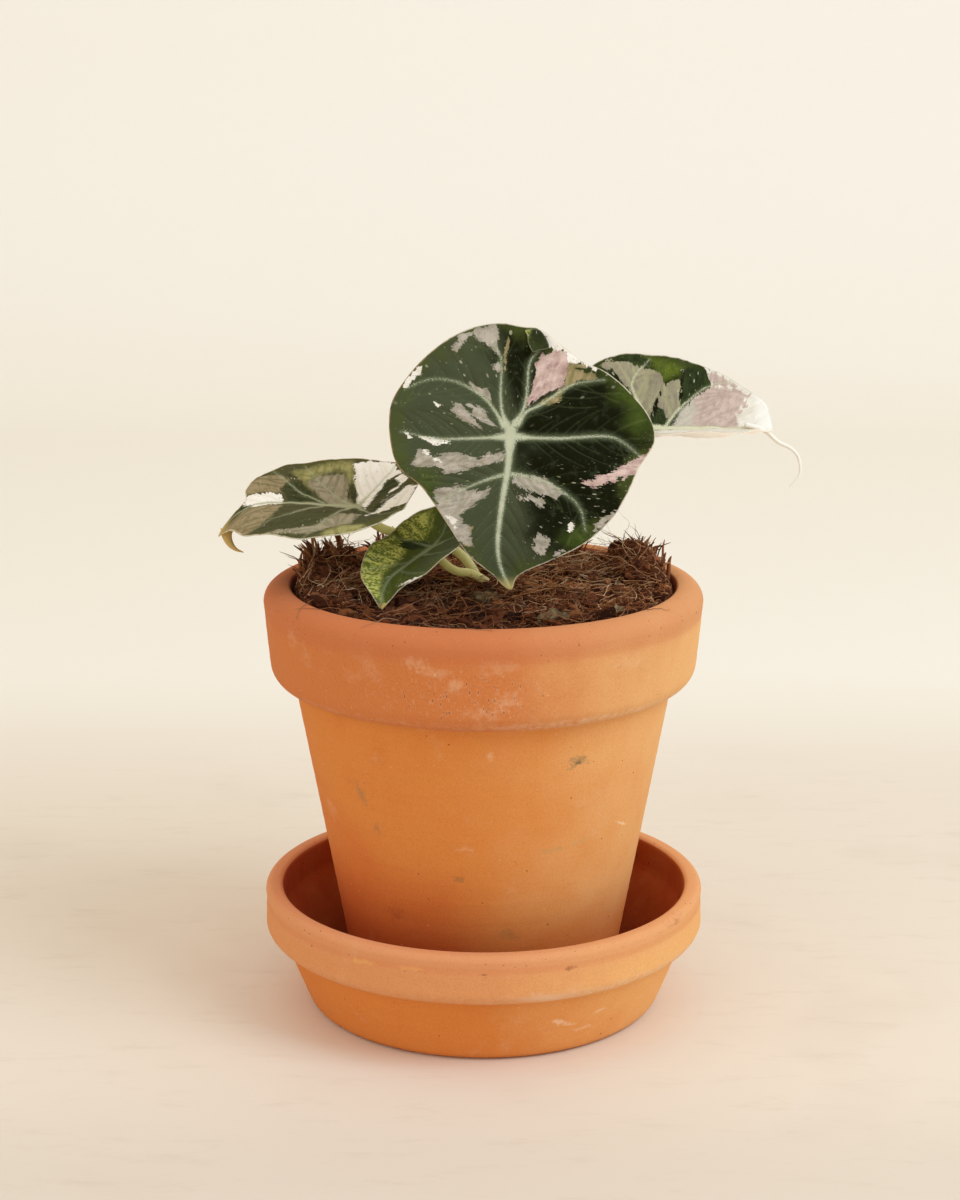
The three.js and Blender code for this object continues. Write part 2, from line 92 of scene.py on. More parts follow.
class Sock:
    """An output socket that adds a Math node for each operator used on it."""

    def __init__(self, bench: Bench, socket: bpy.types.NodeSocket) -> None:
        """Keeps the socket and the bench that its tree is built on."""
        self.bench = bench
        self.socket = socket

    def _math(self, operation: str, first: Any, second: Any) -> Sock:
        """Adds one Math node."""
        return self.bench.node("ShaderNodeMath", {"operation": operation}, {0: first, 1: second})

    def __add__(self, other: Any) -> Sock:
        """self + other"""
        return self._math("ADD", self, other)

    def __sub__(self, other: Any) -> Sock:
        """self - other"""
        return self._math("SUBTRACT", self, other)

    def __rsub__(self, other: Any) -> Sock:
        """other - self"""
        return self._math("SUBTRACT", other, self)

    def __mul__(self, other: Any) -> Sock:
        """self * other"""
        return self._math("MULTIPLY", self, other)

    def __truediv__(self, other: Any) -> Sock:
        """self / other"""
        return self._math("DIVIDE", self, other)

    def __pow__(self, other: Any) -> Sock:
        """self ** other"""
        return self._math("POWER", self, other)

    def least(self, other: Any) -> Sock:
        """The smaller of the two."""
        return self._math("MINIMUM", self, other)

    def most(self, other: Any) -> Sock:
        """The larger of the two."""
        return self._math("MAXIMUM", self, other)

    __radd__ = __add__
    __rmul__ = __mul__


class Bench:
    """A node tree under construction."""

    def __init__(self, tree: bpy.types.NodeTree) -> None:
        """Starts on an existing tree."""
        self.tree = tree

    def node(self, kind: str, settings: dict[str, Any] | None = None,
             inputs: dict[int | str, Any] | None = None, out: int | str = 0) -> Sock:
        """Adds a node.

        Args:
            kind: The node's type.
            settings: Its properties, set first; "stops" are a colour ramp's (place, colour) pairs.
            inputs: A value or a Sock for each input, by its name or number.
            out: The output wanted.

        Returns:
            That output.
        """
        made = self.tree.nodes.new(kind)
        for name, value in (settings or {}).items():
            if name == "stops":
                self._set_stops(made.color_ramp, value)
            else:
                setattr(made, name, value)
        for key, value in (inputs or {}).items():
            self.feed(made.inputs[key], value)
        return Sock(self, made.outputs[out])

    def feed(self, socket: bpy.types.NodeSocket, value: Any) -> None:
        """Links a Sock into a socket, or sets its plain value.

        Args:
            socket: An input of a node.
            value: A Sock, a number, a vector or a colour.
        """
        if isinstance(value, Sock):
            self.tree.links.new(value.socket, socket)
        elif socket.type == "RGBA":
            socket.default_value = (*value, 1.0)
        else:
            socket.default_value = value

    @staticmethod
    def _set_stops(ramp: bpy.types.ColorRamp, stops: Sequence[tuple[float, Colour]]) -> None:
        """Gives a ramp exactly these stops.

        Args:
            ramp: A colour ramp, which starts with two.
            stops: (place, colour) pairs.
        """
        while len(ramp.elements) < len(stops):
            ramp.elements.new(0.5)
        for element, (place, colour) in zip(ramp.elements, stops):
            element.position = place
            element.color = (*colour, 1.0)

    def other(self, sock: Sock, name: str) -> Sock:
        """Another output of the node that a Sock belongs to."""
        return Sock(self, sock.socket.node.outputs[name])

    def vector(self, operation: str, first: Any, second: Any) -> Sock:
        """Adds one Vector Math node with two vectors."""
        return self.node("ShaderNodeVectorMath", {"operation": operation}, {0: first, 1: second})

    def spread(self, vector: Any, factor: float) -> Sock:
        """A vector times a number."""
        return self.vector("MULTIPLY", vector, (factor, factor, factor))

    def split(self, vector: Any) -> tuple[Sock, Sock, Sock]:
        """The three parts of a vector."""
        x = self.node("ShaderNodeSeparateXYZ", inputs={0: vector})
        return x, self.other(x, "Y"), self.other(x, "Z")

    def join(self, x: Any, y: Any, z: Any) -> Sock:
        """A vector from its three parts."""
        return self.node("ShaderNodeCombineXYZ", inputs={0: x, 1: y, 2: z})

    def noise(self, vector: Any, scale: float, detail: float = 2, roughness: float = 0.5) -> Sock:
        """Soft noise, about 0.5 on the mean."""
        return self.node("ShaderNodeTexNoise", inputs={
            "Vector": vector, "Scale": scale, "Detail": detail, "Roughness": roughness})

    def cells(self, vector: Any, scale: float) -> tuple[Sock, Sock, Sock]:
        """Voronoi cells: the distance from the nearest cell's point, and two numbers of that cell's own.

        Args:
            vector: Where the cells are looked up.
            scale: How many there are to a unit.

        Returns:
            The distance and the two numbers.
        """
        near = self.node("ShaderNodeTexVoronoi", inputs={"Vector": vector, "Scale": scale}, out="Distance")
        pick, other, _ = self.split(self.other(near, "Color"))
        return near, pick, other

    def step(self, value: Any, low: float, high: float) -> Sock:
        """Rises smoothly from 0 to 1 as the value goes from low to high, and falls if high is less.

        Args:
            value: What is measured.
            low: Where it gives 0.
            high: Where it gives 1.

        Returns:
            The share, 0 to 1.
        """
        if high < low:
            return 1 - self.step(value, high, low)
        return self.node("ShaderNodeMapRange", {"interpolation_type": "SMOOTHSTEP"},
                         {"Value": value, "From Min": low, "From Max": high})

    def mix(self, factor: Any, first: Any, second: Any) -> Sock:
        """Goes from the first colour to the second as the factor goes from 0 to 1."""
        return self.node("ShaderNodeMix", {"data_type": "RGBA"}, {0: factor, 6: first, 7: second}, 2)

    def multiply(self, factor: Any, first: Any, second: Any) -> Sock:
        """The first colour, darkened by the second as far as the factor says."""
        return self.node("ShaderNodeMix", {"data_type": "RGBA", "blend_type": "MULTIPLY"},
                         {0: factor, 6: first, 7: second}, 2)


class Surface(Bench):
    """A material under construction."""

    def __init__(self, name: str) -> None:
        """Makes a new material with a plain Principled shader.

        Args:
            name: The material's name.
        """
        self.material = bpy.data.materials.new(name)
        self.material.use_nodes = True
        super().__init__(self.material.node_tree)
        self.shader = self.tree.nodes["Principled BSDF"]

    def attribute(self, name: str, out: str = "Fac") -> Sock:
        """Reads a mesh attribute."""
        return self.node("ShaderNodeAttribute", {"attribute_name": name}, out=out)

    def place(self) -> Sock:
        """Object coordinates in millimetres."""
        place = self.node("ShaderNodeTexCoord", out="Object")
        return self.spread(place, 1 / MM)

    def bump(self, height: Sock, depth: float) -> Sock:
        """A Bump node whose height of 0 to 1 stands for a depth in millimetres."""
        inputs = {"Strength": 1.0, "Distance": depth * MM, "Height": height}
        return self.node("ShaderNodeBump", inputs=inputs, out="Normal")

    def finish(self, **sockets: Any) -> bpy.types.Material:
        """Feeds the shader's sockets, each named with _ for a space, and returns the material.

        Args:
            **sockets: A value or a Sock for each input.

        Returns:
            The material.
        """
        for name, value in sockets.items():
            self.feed(self.shader.inputs[name.replace("_", " ").title().replace("Ior", "IOR")], value)
        return self.material


# Lines, noise and meshes


def smooth_line(points: Sequence[Sequence[float]], per_span: int, closed: bool = False) -> np.ndarray:
    """A centripetal Catmull-Rom curve through the points.

    Args:
        points: Corners in two or three dimensions.
        per_span: Steps between one corner and the next.
        closed: Whether the curve comes back to its start, which is then not repeated.

    Returns:
        The points of the curve, one a row.
    """
    p = np.array(points, float)
    if closed:
        p = np.vstack([p[-1], p, p[0], p[1]])
    else:
        p = np.vstack([2 * p[0] - p[1], p, 2 * p[-1] - p[-2]])
    t = np.linspace(0, 1, per_span, endpoint=False)[:, None]
    spans = []
    for a, b, c, d in zip(p, p[1:], p[2:], p[3:]):
        ab, bc, cd = (max(np.linalg.norm(s) ** 0.5, 1e-6) for s in (b - a, c - b, d - c))
        start = ((b - a) / ab - (c - a) / (ab + bc) + (c - b) / bc) * bc
        end = ((c - b) / bc - (d - b) / (bc + cd) + (d - c) / cd) * bc
        spans.append(b + start * t + (3 * (c - b) - 2 * start - end) * t ** 2
                     + (2 * (b - c) + start + end) * t ** 3)
    line = np.vstack(spans)
    return line if closed else np.vstack([line, p[-2]])


def distance_to_line(points: np.ndarray, line: np.ndarray, start: float = 0, end: float = 0) -> np.ndarray:
    """The distance from each point to a line whose half width changes along it.

    Args:
        points: Rows of points.
        line: Rows of corners, in the same dimensions.
        start: Half width where the line begins.
        end: Half width where it ends.

    Returns:
        The distance to the line's edge for each point, negative inside it.
    """
    least = np.full(len(points), np.inf)
    for i, (a, b) in enumerate(zip(line, line[1:])):
        span = b - a
        share = np.clip((points - a) @ span / max(span @ span, 1e-9), 0, 1)
        along = (i + share) / (len(line) - 1)
        gap = np.linalg.norm(points - a - share[:, None] * span, axis=1)
        least = np.minimum(least, gap - start - (end - start) * along)
    return least


def inside(points: np.ndarray, outline: np.ndarray) -> np.ndarray:
    """Whether each flat point lies inside a closed outline.

    Args:
        points: Rows of (u, v).
        outline: Its corners.

    Returns:
        One truth value a point.
    """
    odd = np.zeros(len(points), bool)
    for a, b in zip(outline, np.roll(outline, -1, axis=0)):
        crosses = (a[1] > points[:, 1]) != (b[1] > points[:, 1])
        rise = b[1] - a[1] if b[1] != a[1] else 1e-9
        odd ^= crosses & (points[:, 0] < (b[0] - a[0]) * (points[:, 1] - a[1]) / rise + a[0])
    return odd


def depth_inside(points: np.ndarray, outline: np.ndarray) -> np.ndarray:
    """How far each flat point lies inside a closed outline, negative outside it."""
    gap = distance_to_line(points, np.vstack([outline, outline[:1]]))
    return np.where(inside(points, outline), gap, -gap)


def ripple(points: np.ndarray, size: float, seed: int, waves: int = 10) -> np.ndarray:
    """Smooth seeded noise of about -1 to 1 made of waves, at points of any dimension.

    Args:
        points: Rows of points.
        size: The usual length of a wave.
        seed: Fixes the waves.
        waves: How many are summed.

    Returns:
        One value a point.
    """
    draw = random.Random(seed)
    total = np.zeros(len(points))
    for _ in range(waves):
        way = np.array([draw.gauss(0, 1) for _ in range(points.shape[1])])
        way *= 2 * math.pi / size * draw.uniform(0.6, 1.5) / np.linalg.norm(way)
        total += np.sin(points @ way + draw.uniform(0, 2 * math.pi))
    return total / math.sqrt(waves)


@dataclass
class Skin:
    """A closed skin over stacked rings of points with a pole at each end, the first ring lowest."""

    low: np.ndarray
    rings: list[np.ndarray]
    high: np.ndarray

    def __len__(self) -> int:
        """How many points it has."""
        return 2 + len(self.rings) * len(self.rings[0])

    def points(self) -> np.ndarray:
        """All points, in the order that the faces use."""
        return np.vstack([self.low[None], *self.rings, self.high[None]])

    def faces(self, first: int = 0) -> list[tuple[int, ...]]:
        """Faces that look outwards.

        Args:
            first: The number of the skin's first point in a larger mesh.

        Returns:
            Quads, with triangles at the poles.
        """
        sides = len(self.rings[0])
        last = first + 1 + len(self.rings) * sides
        faces: list[tuple[int, ...]] = []
        for side in range(sides):
            here, there = first + 1 + side, first + 1 + (side + 1) % sides
            faces.append((first, there, here))
            for ring in range(len(self.rings) - 1):
                low, high = ring * sides, (ring + 1) * sides
                faces.append((here + low, there + low, there + high, here + high))
            top = (len(self.rings) - 1) * sides
            faces.append((last, here + top, there + top))
        return faces


def joined(skins: Sequence[Skin]) -> tuple[np.ndarray, list[tuple[int, ...]]]:
    """The points and the faces of several skins as one mesh.

    Args:
        skins: The skins, which keep their order.

    Returns:
        Rows of points, and tuples of their numbers.
    """
    faces: list[tuple[int, ...]] = []
    count = 0
    for skin in skins:
        faces += skin.faces(count)
        count += len(skin)
    return np.vstack([skin.points() for skin in skins]), faces


def make_piece(name: str, points: np.ndarray, faces: Sequence[tuple[int, ...]], material: bpy.types.Material,
               attributes: dict[str, np.ndarray] | None = None) -> bpy.types.Object:
    """Makes a mesh object at the origin, shaded smooth.

    Args:
        name: The piece's name.
        points: Rows of points in millimetres.
        faces: Tuples of point numbers.
        material: Its finish.
        attributes: Numbers or vectors for each point, by name.

    Returns:
        The object.
    """
    mesh = bpy.data.meshes.new(name)
    mesh.from_pydata((points * MM).tolist(), [], faces)
    for key, values in (attributes or {}).items():
        vectors = values.ndim == 2
        layer = mesh.attributes.new(key, "FLOAT_VECTOR" if vectors else "FLOAT", "POINT")
        layer.data.foreach_set("vector" if vectors else "value", values.astype(np.float32).ravel())
    mesh.polygons.foreach_set("use_smooth", [True] * len(mesh.polygons))
    mesh.materials.append(material)
    mesh.update()
    piece = bpy.data.objects.new(name, mesh)
    bpy.context.scene.collection.objects.link(piece)
    return piece


def tube(path: np.ndarray, widths: np.ndarray, sides: int, flatness: float = 1.0) -> Skin:
    """A round or flattened tube along a path.

    Args:
        path: Rows of points.
        widths: Half the tube's width at each point.
        sides: How many sides it has.
        flatness: Its thickness as a share of its width.

    Returns:
        The tube's skin.
    """
    ways = np.gradient(path, axis=0)
    ways /= np.linalg.norm(ways, axis=1)[:, None]
    across = np.cross(ways[0], (0.03, 0.05, 1.0) if abs(ways[0][2]) < 0.9 else (0.05, 1.0, 0.02))
    turn = np.linspace(0, 2 * math.pi, sides, endpoint=False)[:, None]
    rings = []
    for centre, way, width in zip(path, ways, widths):
        across = across - (across @ way) * way
        across /= np.linalg.norm(across)
        rise = np.cross(way, across)
        rings.append(centre + width * (np.cos(turn) * across + flatness * np.sin(turn) * rise))
    return Skin(path[0], rings, path[-1])


def dress(piece: bpy.types.Object, slot: str, *replaced: str) -> None:
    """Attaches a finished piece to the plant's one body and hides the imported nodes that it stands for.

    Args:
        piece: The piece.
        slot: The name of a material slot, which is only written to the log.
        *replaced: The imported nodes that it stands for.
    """
    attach(piece, "root")
    if replaced:
        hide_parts(*replaced)
    triangles = sum(len(face.vertices) - 2 for face in piece.data.polygons)
    log.info("%s: %d triangles, slot %s", piece.name, triangles, slot)


# Clay


@dataclass(frozen=True)
class Mark:
    """A smudge, scratch or stain on the clay: a ragged ellipsoid of another colour."""

    centre: Triple
    reach: Triple
    colour: Colour
    strength: float
    turn: float = 0.0


# The second colour on the next line is chalky wear, laid stronger on the lit right side of the rim as a
# painted highlight.
CHALK_HAZE, CHALK_WEAR_AND_HIGHLIGHT, CHALK_FLECK = srgb(236, 196, 160), srgb(240, 204, 168), srgb(244, 208, 170)
CRACK, CRACK_EDGE, PIT = srgb(146, 76, 44), srgb(236, 186, 142), srgb(110, 56, 32)
# The first colour on the next line is painted light: a brighter orange laid low on the pot's right side.
LOW_LIGHT_ORANGE, DARK_GRAIN, LIP_DIRT = srgb(250, 130, 46), srgb(206, 166, 146), srgb(122, 62, 38)
# The second colour on the next line darkens the clay inside towards the middle.
INNER_PATCH, INNER_DARKER, INNER_GRIME = srgb(184, 106, 58), srgb(150, 112, 96), srgb(64, 28, 16)


class ClayGrain:
    """Where a point of the clay is, and noises of several sizes there."""

    def __init__(self, s: Surface) -> None:
        """Adds the nodes to a material.

        Args:
            s: The material that the nodes are added to.
        """
        self.s = s
        self.place = s.place()
        self.x, self.y, self.z = s.split(self.place)
        self.broad = s.noise(self.place, 0.022, 3, 0.55)
        self.patchy = s.noise(self.place, 0.09, 4, 0.6)
        self.smear = s.noise(self.place, 0.42, 5, 0.7)
        self.grain = s.noise(self.place, 1.9, 3, 0.65)
        self.turned = s.noise(s.join(self.x * 0.03, self.y * 0.03, self.z), 0.9, 3, 0.6)
        self.chalk = s.step(s.noise(self.place, 0.06, 5, 0.7), 0.56, 0.78)

    def level(self, height: float, reach: float) -> Sock:
        """A soft level line round the piece, as a mask."""
        off = self.z - height
        return self.s.step(off * off, reach * reach, 0.05)

    def away(self, mark: Mark) -> Sock:
        """How far a place is from a mark's centre, 1 at its edge.

        Args:
            mark: The mark.

        Returns:
            The distance, as a share of the mark's reach.
        """
        away = self.s.node("ShaderNodeVectorRotate", {"rotation_type": "Y_AXIS"}, {
            "Vector": self.s.vector("SUBTRACT", self.place, mark.centre), "Angle": math.radians(mark.turn)})
        return self.s.node("ShaderNodeVectorMath", {"operation": "LENGTH"}, {
            0: self.s.vector("DIVIDE", away, mark.reach)}, "Value")

    def specks(self, shift: Triple, scale: float, share: float) -> Sock:
        """Small ragged specks of differing size, as a mask."""
        near, pick, _ = self.s.cells(self.s.vector("ADD", self.place, shift), scale)
        return self.s.step(near + (self.smear - 0.5) * 0.12 - (pick - 0.4) * share, 0.01, -0.02)


@dataclass(frozen=True)
class ClayFinish:
    """Unglazed terracotta, worn and a little chalky, with painted highlight and painted shade on its sides.
    """

    name: str
    base: Colour
    # pale is the painted highlight's colour, laid on the lit right side.
    pale: Colour
    deep: Colour
    rim: Colour
    rim_from: float
    # The top and the height of the deeper band: wet clay low down, with painted shade reaching higher on the
    # left.
    wet_and_shade_top: float
    inside: Colour
    lip: Colour
    line: float
    bloom: float
    lined: float = 0.2
    wet_and_shade_height: float = 46
    marks: tuple[Mark, ...] = ()
    crazed: tuple[Mark, ...] = ()

    def build(self) -> bpy.types.Material:
        """Makes the material.

        Returns:
            The material.
        """
        s = Surface(self.name)
        g = ClayGrain(s)
        band = s.step(g.z + (g.patchy - 0.5) * 2, self.rim_from, self.rim_from + 1.5)
        crack, halo = self._cracks(g, band)
        pits = g.specks((0.0, 0.0, 0.0), 0.3, 0.13)
        colour = self._weathered(g, self._fired(g, band))
        colour = s.mix(halo * 0.3, colour, CRACK_EDGE)
        colour = s.mix(crack * 0.7, colour, CRACK)
        colour = s.multiply(s.step(g.grain, 0.62, 0.3) * 0.22, colour, DARK_GRAIN)
        colour = s.mix(pits * 0.75, colour, PIT)
        colour = s.mix(g.specks((31.0, 17.0, 5.0), 0.36, 0.15) * 0.4, colour, CHALK_FLECK)
        for mark in self.marks:
            ragged = g.away(mark) + (g.smear - 0.5) * 3.4 + (g.grain - 0.5) * 1.2
            colour = s.mix(s.step(ragged, 1, 0.1) * mark.strength, colour, mark.colour)
        lip = s.step(g.z, self.line - 4, self.line + 3)
        colour = s.mix(lip * 0.45, colour, self.lip)
        colour = s.mix(g.specks((3.0, 8.0, 1.0), 0.55, 0.26) * lip * 0.7, colour, LIP_DIRT)
        colour = s.mix(s.attribute("inner"), colour, self._inner(g))
        height = g.grain * 0.35 + g.turned * 0.35 + g.smear * 0.3 - pits * 1.4 - crack * 1.2
        return s.finish(base_color=colour, roughness=0.88 - g.chalk * 0.05, normal=s.bump(height, 0.17),
                        specular_ior_level=0.15)

    def _fired(self, g: ClayGrain, band: Sock) -> Sock:
        """The fired clay: deeper low down where it is wet and further up on the left as painted shade, paler
        on the right as a painted highlight, and a brighter orange low on the right as painted light.

        Args:
            g: The clay's noises and where they are.
            band: The mask of the rim or band.

        Returns:
            The colour.
        """
        s, top = g.s, self.wet_and_shade_top
        # The deeper colour low down is wet clay; its line is tilted to reach higher on the left, which is
        # painted shade on the side away from the light.
        wet_low_and_shaded_left = s.step(g.z + g.x * 0.5 + (g.broad - 0.5) * 60, top, top - self.wet_and_shade_height)
        colour = s.mix(wet_low_and_shaded_left * 0.9, self.base, self.deep)
        colour = s.mix(s.step(g.patchy, 0.45, 0.8) * 0.22, colour, self.deep)
        colour = s.mix(s.step(g.turned, 0.45, 0.75) * 0.08, colour, self.deep)
        colour = s.mix(band * 0.9, colour, self.rim)
        # Painted highlight: the clay is laid paler towards the right, the lit side, and less so low down
        # where the saucer shades it.
        low = s.step(g.z, top - 8, top - self.wet_and_shade_height)
        painted_highlight = s.step(g.x - low * 46 + (g.broad - 0.5) * 50 + (g.patchy - 0.5) * 24, -8, 72)
        colour = s.mix(painted_highlight * 0.85, colour, self.pale)
        # Painted light: low on the right the clay is laid a brighter orange, as if more light reached it
        # there.
        painted_low_light = low * s.step(g.x + (g.patchy - 0.5) * 20, 2, 36)
        return s.mix(painted_low_light * 0.6, colour, LOW_LIGHT_ORANGE)

    def _weathered(self, g: ClayGrain, colour: Sock) -> Sock:
        """The turned line, a haze of chalk and the worn edge of the rim, whose wear is stronger on the right
        as a painted highlight.

        Args:
            g: The clay's noises and where they are.
            colour: The colour so far.

        Returns:
            The colour.
        """
        s = g.s
        colour = s.mix(g.level(self.line, 1.5) * self.lined, colour, self.deep)
        colour = s.mix(g.chalk * 0.22, colour, CHALK_HAZE)
        # Chalky wear along the rim's lower edge, laid much stronger on the right as a painted highlight on
        # the lit side.
        worn = g.level(self.bloom, 2.6) * s.step(g.smear, 0.36, 0.62)
        return s.mix(worn * (s.step(g.x, -15, 45) * 0.5 + 0.12), colour, CHALK_WEAR_AND_HIGHLIGHT)

    def _inner(self, g: ClayGrain) -> Sock:
        """The clay inside, patchy, darker towards the middle and grimy.

        Args:
            g: The clay's noises and where they are.

        Returns:
            The colour.
        """
        s = g.s
        inner = s.mix(s.step(g.patchy, 0.4, 0.7) * 0.5, self.inside, INNER_PATCH)
        # The inside is laid darker towards the middle.
        darker_inward = s.step((g.x * g.x + g.y * g.y) ** 0.5 + (g.patchy - 0.5) * 8, 66, 42)
        inner = s.multiply(darker_inward * 0.8, inner, INNER_DARKER)
        return s.mix(g.specks((7.0, 3.0, 9.0), 0.5, 0.3) * 0.75, inner, INNER_GRIME)

    def _cracks(self, g: ClayGrain, band: Sock) -> tuple[Sock, Sock]:
        """Short upright hair cracks of the rim and the chalk round them, as two masks.

        Args:
            g: The clay's noises and where they are.
            band: The mask of the rim or band.

        Returns:
            The cracks and the chalk.
        """
        s = g.s
        where = band * 0.1
        for area in self.crazed:
            where = where.most(s.step(g.away(area) + (g.smear - 0.5) * 2.5, 1.1, 0.2) * area.strength)
        near, pick, _ = s.cells(s.vector("MULTIPLY", g.place, (1.0, 1.0, 0.36)), 1.2)
        crack = s.step(near - pick * 0.28, 0.06, -0.06) * where
        return crack, s.step(near - pick * 0.5, 0.15, -0.1) * where


def arc(centre_radius: float, centre_z: float, radius: float, start: float, end: float,
        steps: int) -> list[Pair]:
    """Points of an arc in a profile.

    Args:
        centre_radius: Its centre's distance from the axis.
        centre_z: Its centre's height.
        radius: Its own radius.
        start: Degrees where it begins.
        end: Degrees where it ends.
        steps: How many spans it has.

    Returns:
        (radius, z) points.
    """
    turns = np.radians(np.linspace(start, end, steps + 1))
    return [(centre_radius + radius * math.cos(t), centre_z + radius * math.sin(t)) for t in turns]


@dataclass
class ClayWare:
    """A thrown clay piece: a profile turned about the axis, not quite true."""

    name: str
    node: str
    slot: str
    finish: ClayFinish
    profile: list[Pair]
    open_middle: bool
    lip: int
    seed: int
    grooves: tuple[Triple, ...] = ()
    turns: int = 240
    step: float = 1.7
    wobble: float = 0.12
    ridges: float = 0.03
    true_middle: float = 20

    def dense_profile(self) -> tuple[np.ndarray, np.ndarray]:
        """The profile with its long spans split, and for each point whether it is past the lip.

        Returns:
            Rows of (radius, z), and 0 or 1 for each.
        """
        dense: list[np.ndarray] = []
        inner: list[float] = []
        corners = np.array(self.profile)
        for number, (a, b) in enumerate(zip(corners, corners[1:])):
            parts = max(1, round(float(np.linalg.norm(b - a)) / self.step))
            dense += [a + (b - a) * i / parts for i in range(parts)]
            inner += [float(number >= self.lip)] * parts
        return np.vstack([*dense, corners[-1]]), np.array([*inner, 1.0])

    def build(self) -> None:
        """Turns the profile and dresses the piece."""
        profile, inner = self.dense_profile()
        first = 0 if self.open_middle else 1
        rings = [self._ring(*row, past) for row, past in zip(profile[first:-1], inner[first:-1])]
        inner = np.repeat(inner[first:-1], self.turns)
        if self.open_middle:
            points = np.vstack(rings)
            faces = self._closed_faces(len(rings))
        else:
            skin = Skin(np.array([0, 0, self.profile[0][1]]), rings, np.array([0, 0, self.profile[-1][1]]))
            points, faces = skin.points(), skin.faces()
            inner = np.concatenate([[0], inner, [1]])
        piece = make_piece(self.name, points, faces, self.finish.build(), {"inner": inner})
        dress(piece, self.slot, self.node)

    def _ring(self, radius: float, z: float, past_lip: float) -> np.ndarray:
        """One ring of the turned shape, a little out of true, with the outer side's turned grooves.

        Args:
            radius: Its distance from the axis.
            z: Its height.
            past_lip: 1 on the inner side, 0 on the outer.

        Returns:
            Rows of points.
        """
        turn = np.linspace(0, 2 * math.pi, self.turns, endpoint=False)
        way = np.column_stack([np.cos(turn), np.sin(turn)])
        around = np.column_stack([way * 30, np.full(self.turns, z * 0.4)])
        off = self.wobble * (ripple(around, 40, self.seed, 6) - 1)
        off += self.ridges * math.sin(z * 1.2 + 0.6 * math.sin(z * 0.7))
        off *= min(1.0, radius / self.true_middle)
        for groove, depth, reach in self.grooves:
            off -= (1 - past_lip) * depth * math.exp(-((z - groove) / reach) ** 2)
        return np.column_stack([way * (radius + off[:, None]), np.full(self.turns, z)])

    def _closed_faces(self, rings: int) -> list[tuple[int, ...]]:
        """Faces of a shape whose profile closes on itself.

        Args:
            rings: How many rings the shape has.

        Returns:
            Quads that look outwards.
        """
        faces = []
        for ring in range(rings):
            low, high = ring * self.turns, (ring + 1) % rings * self.turns
            for side in range(self.turns):
                there = (side + 1) % self.turns
                faces.append((low + side, low + there, high + there, high + side))
        return faces


def pot() -> ClayWare:
    """The flower pot with its deep rim.

    Returns:
        The pot.
    """
    profile = [
        (9, 6.3), (41.2, 6.3), (41.8, 6.6), (42.4, 7.5), (60.6, 107),
        *arc(61.6, 115, 6.8, -78, -4, 10),
        *arc(64.6, 134, 5.7, 5, 120, 14),
        (61.2, 134), (60.4, 117), (54.6, 106.2), (37.2, 13.3), (9, 13.3), (9, 6.3),
    ]
    chalky, grey = srgb(236, 198, 160), srgb(136, 118, 84)
    finish = ClayFinish(
        "terracotta_pot", base=srgb(221, 138, 68), pale=srgb(242, 190, 126), deep=srgb(206, 96, 42),
        rim=srgb(208, 124, 70), rim_from=107.2, wet_and_shade_top=58,
        inside=srgb(150, 74, 42), lip=srgb(196, 112, 76),
        line=131.5, bloom=109.6, lined=0.1,
        marks=(
            Mark((-20.2, -66.9, 130), (4.4, 9, 2.6), chalky, 0.3),
            Mark((-14, -68, 127.5), (6, 9, 2), chalky, 0.2),
            Mark((-8.5, -68.8, 123.5), (3.4, 9, 2.8), chalky, 0.26),
            Mark((4.7, -69.7, 129.5), (7, 9, 3), chalky, 0.18),
            Mark((7, -69, 119), (6, 9, 4), chalky, 0.24),
            Mark((-1, -69, 115), (8, 9, 2.5), chalky, 0.2),
            Mark((-58, -38, 131), (3, 6, 4), chalky, 0.16),
            Mark((44, -54, 127), (7, 9, 3), chalky, 0.16),
            Mark((28.8, -50.7, 94.9), (4.6, 9, 2.6), grey, 0.6),
            Mark((28.8, -50.7, 94.6), (1.2, 9, 0.8), srgb(84, 74, 54), 0.6),
            Mark((42.7, -32.6, 69.2), (3.4, 9, 0.7), srgb(250, 216, 176), 0.75, -38),
            Mark((-38, -40, 82), (2.2, 8, 5), srgb(150, 116, 82), 0.45, 30),
            Mark((-33, -43, 71), (1.8, 8, 3), srgb(150, 116, 82), 0.4, 20),
            Mark((22, -47, 66), (6, 9, 1.6), srgb(196, 152, 96), 0.5),
            Mark((29, -44, 67), (4, 9, 1.6), srgb(206, 162, 108), 0.45),
            Mark((2, -55, 100), (1.6, 8, 2.6), chalky, 0.45),
            Mark((-6, -51, 68), (3, 8, 1.2), chalky, 0.3),
            Mark((-7, -49, 57), (2.6, 8, 1.6), srgb(160, 112, 66), 0.5),
            Mark((7, -47, 38), (5, 8, 2.6), srgb(176, 120, 70), 0.45),
            Mark((-27, -37, 42), (3.5, 8, 5), srgb(150, 72, 38), 0.4),
            Mark((-8, -46, 24), (14, 9, 3.5), srgb(146, 68, 36), 0.25),
            Mark((66, 12, 124), (3, 7, 4), chalky, 0.3),
            Mark((46, 24, 72), (6, 5, 8), grey, 0.3, 24),
            Mark((-20, 52, 84), (8, 7, 4), chalky, 0.16),
            Mark((-62, 30, 122), (6, 8, 3), chalky, 0.16),
            Mark((12, 50, 52), (9, 8, 6), srgb(160, 82, 44), 0.4),
            Mark((-48, 8, 58), (6, 6, 9), srgb(158, 84, 46), 0.35),
        ),
        crazed=(Mark((-5, -69, 119), (32, 30, 10), chalky, 1.0),
                Mark((40, -56, 125), (16, 16, 6), chalky, 0.35)))
    return ClayWare("fine_pot", "pot", "pot_clay", finish, profile, True, 30, 5,
                    grooves=((131.5, 0.08, 1.8), (109.4, -0.15, 1.2)))


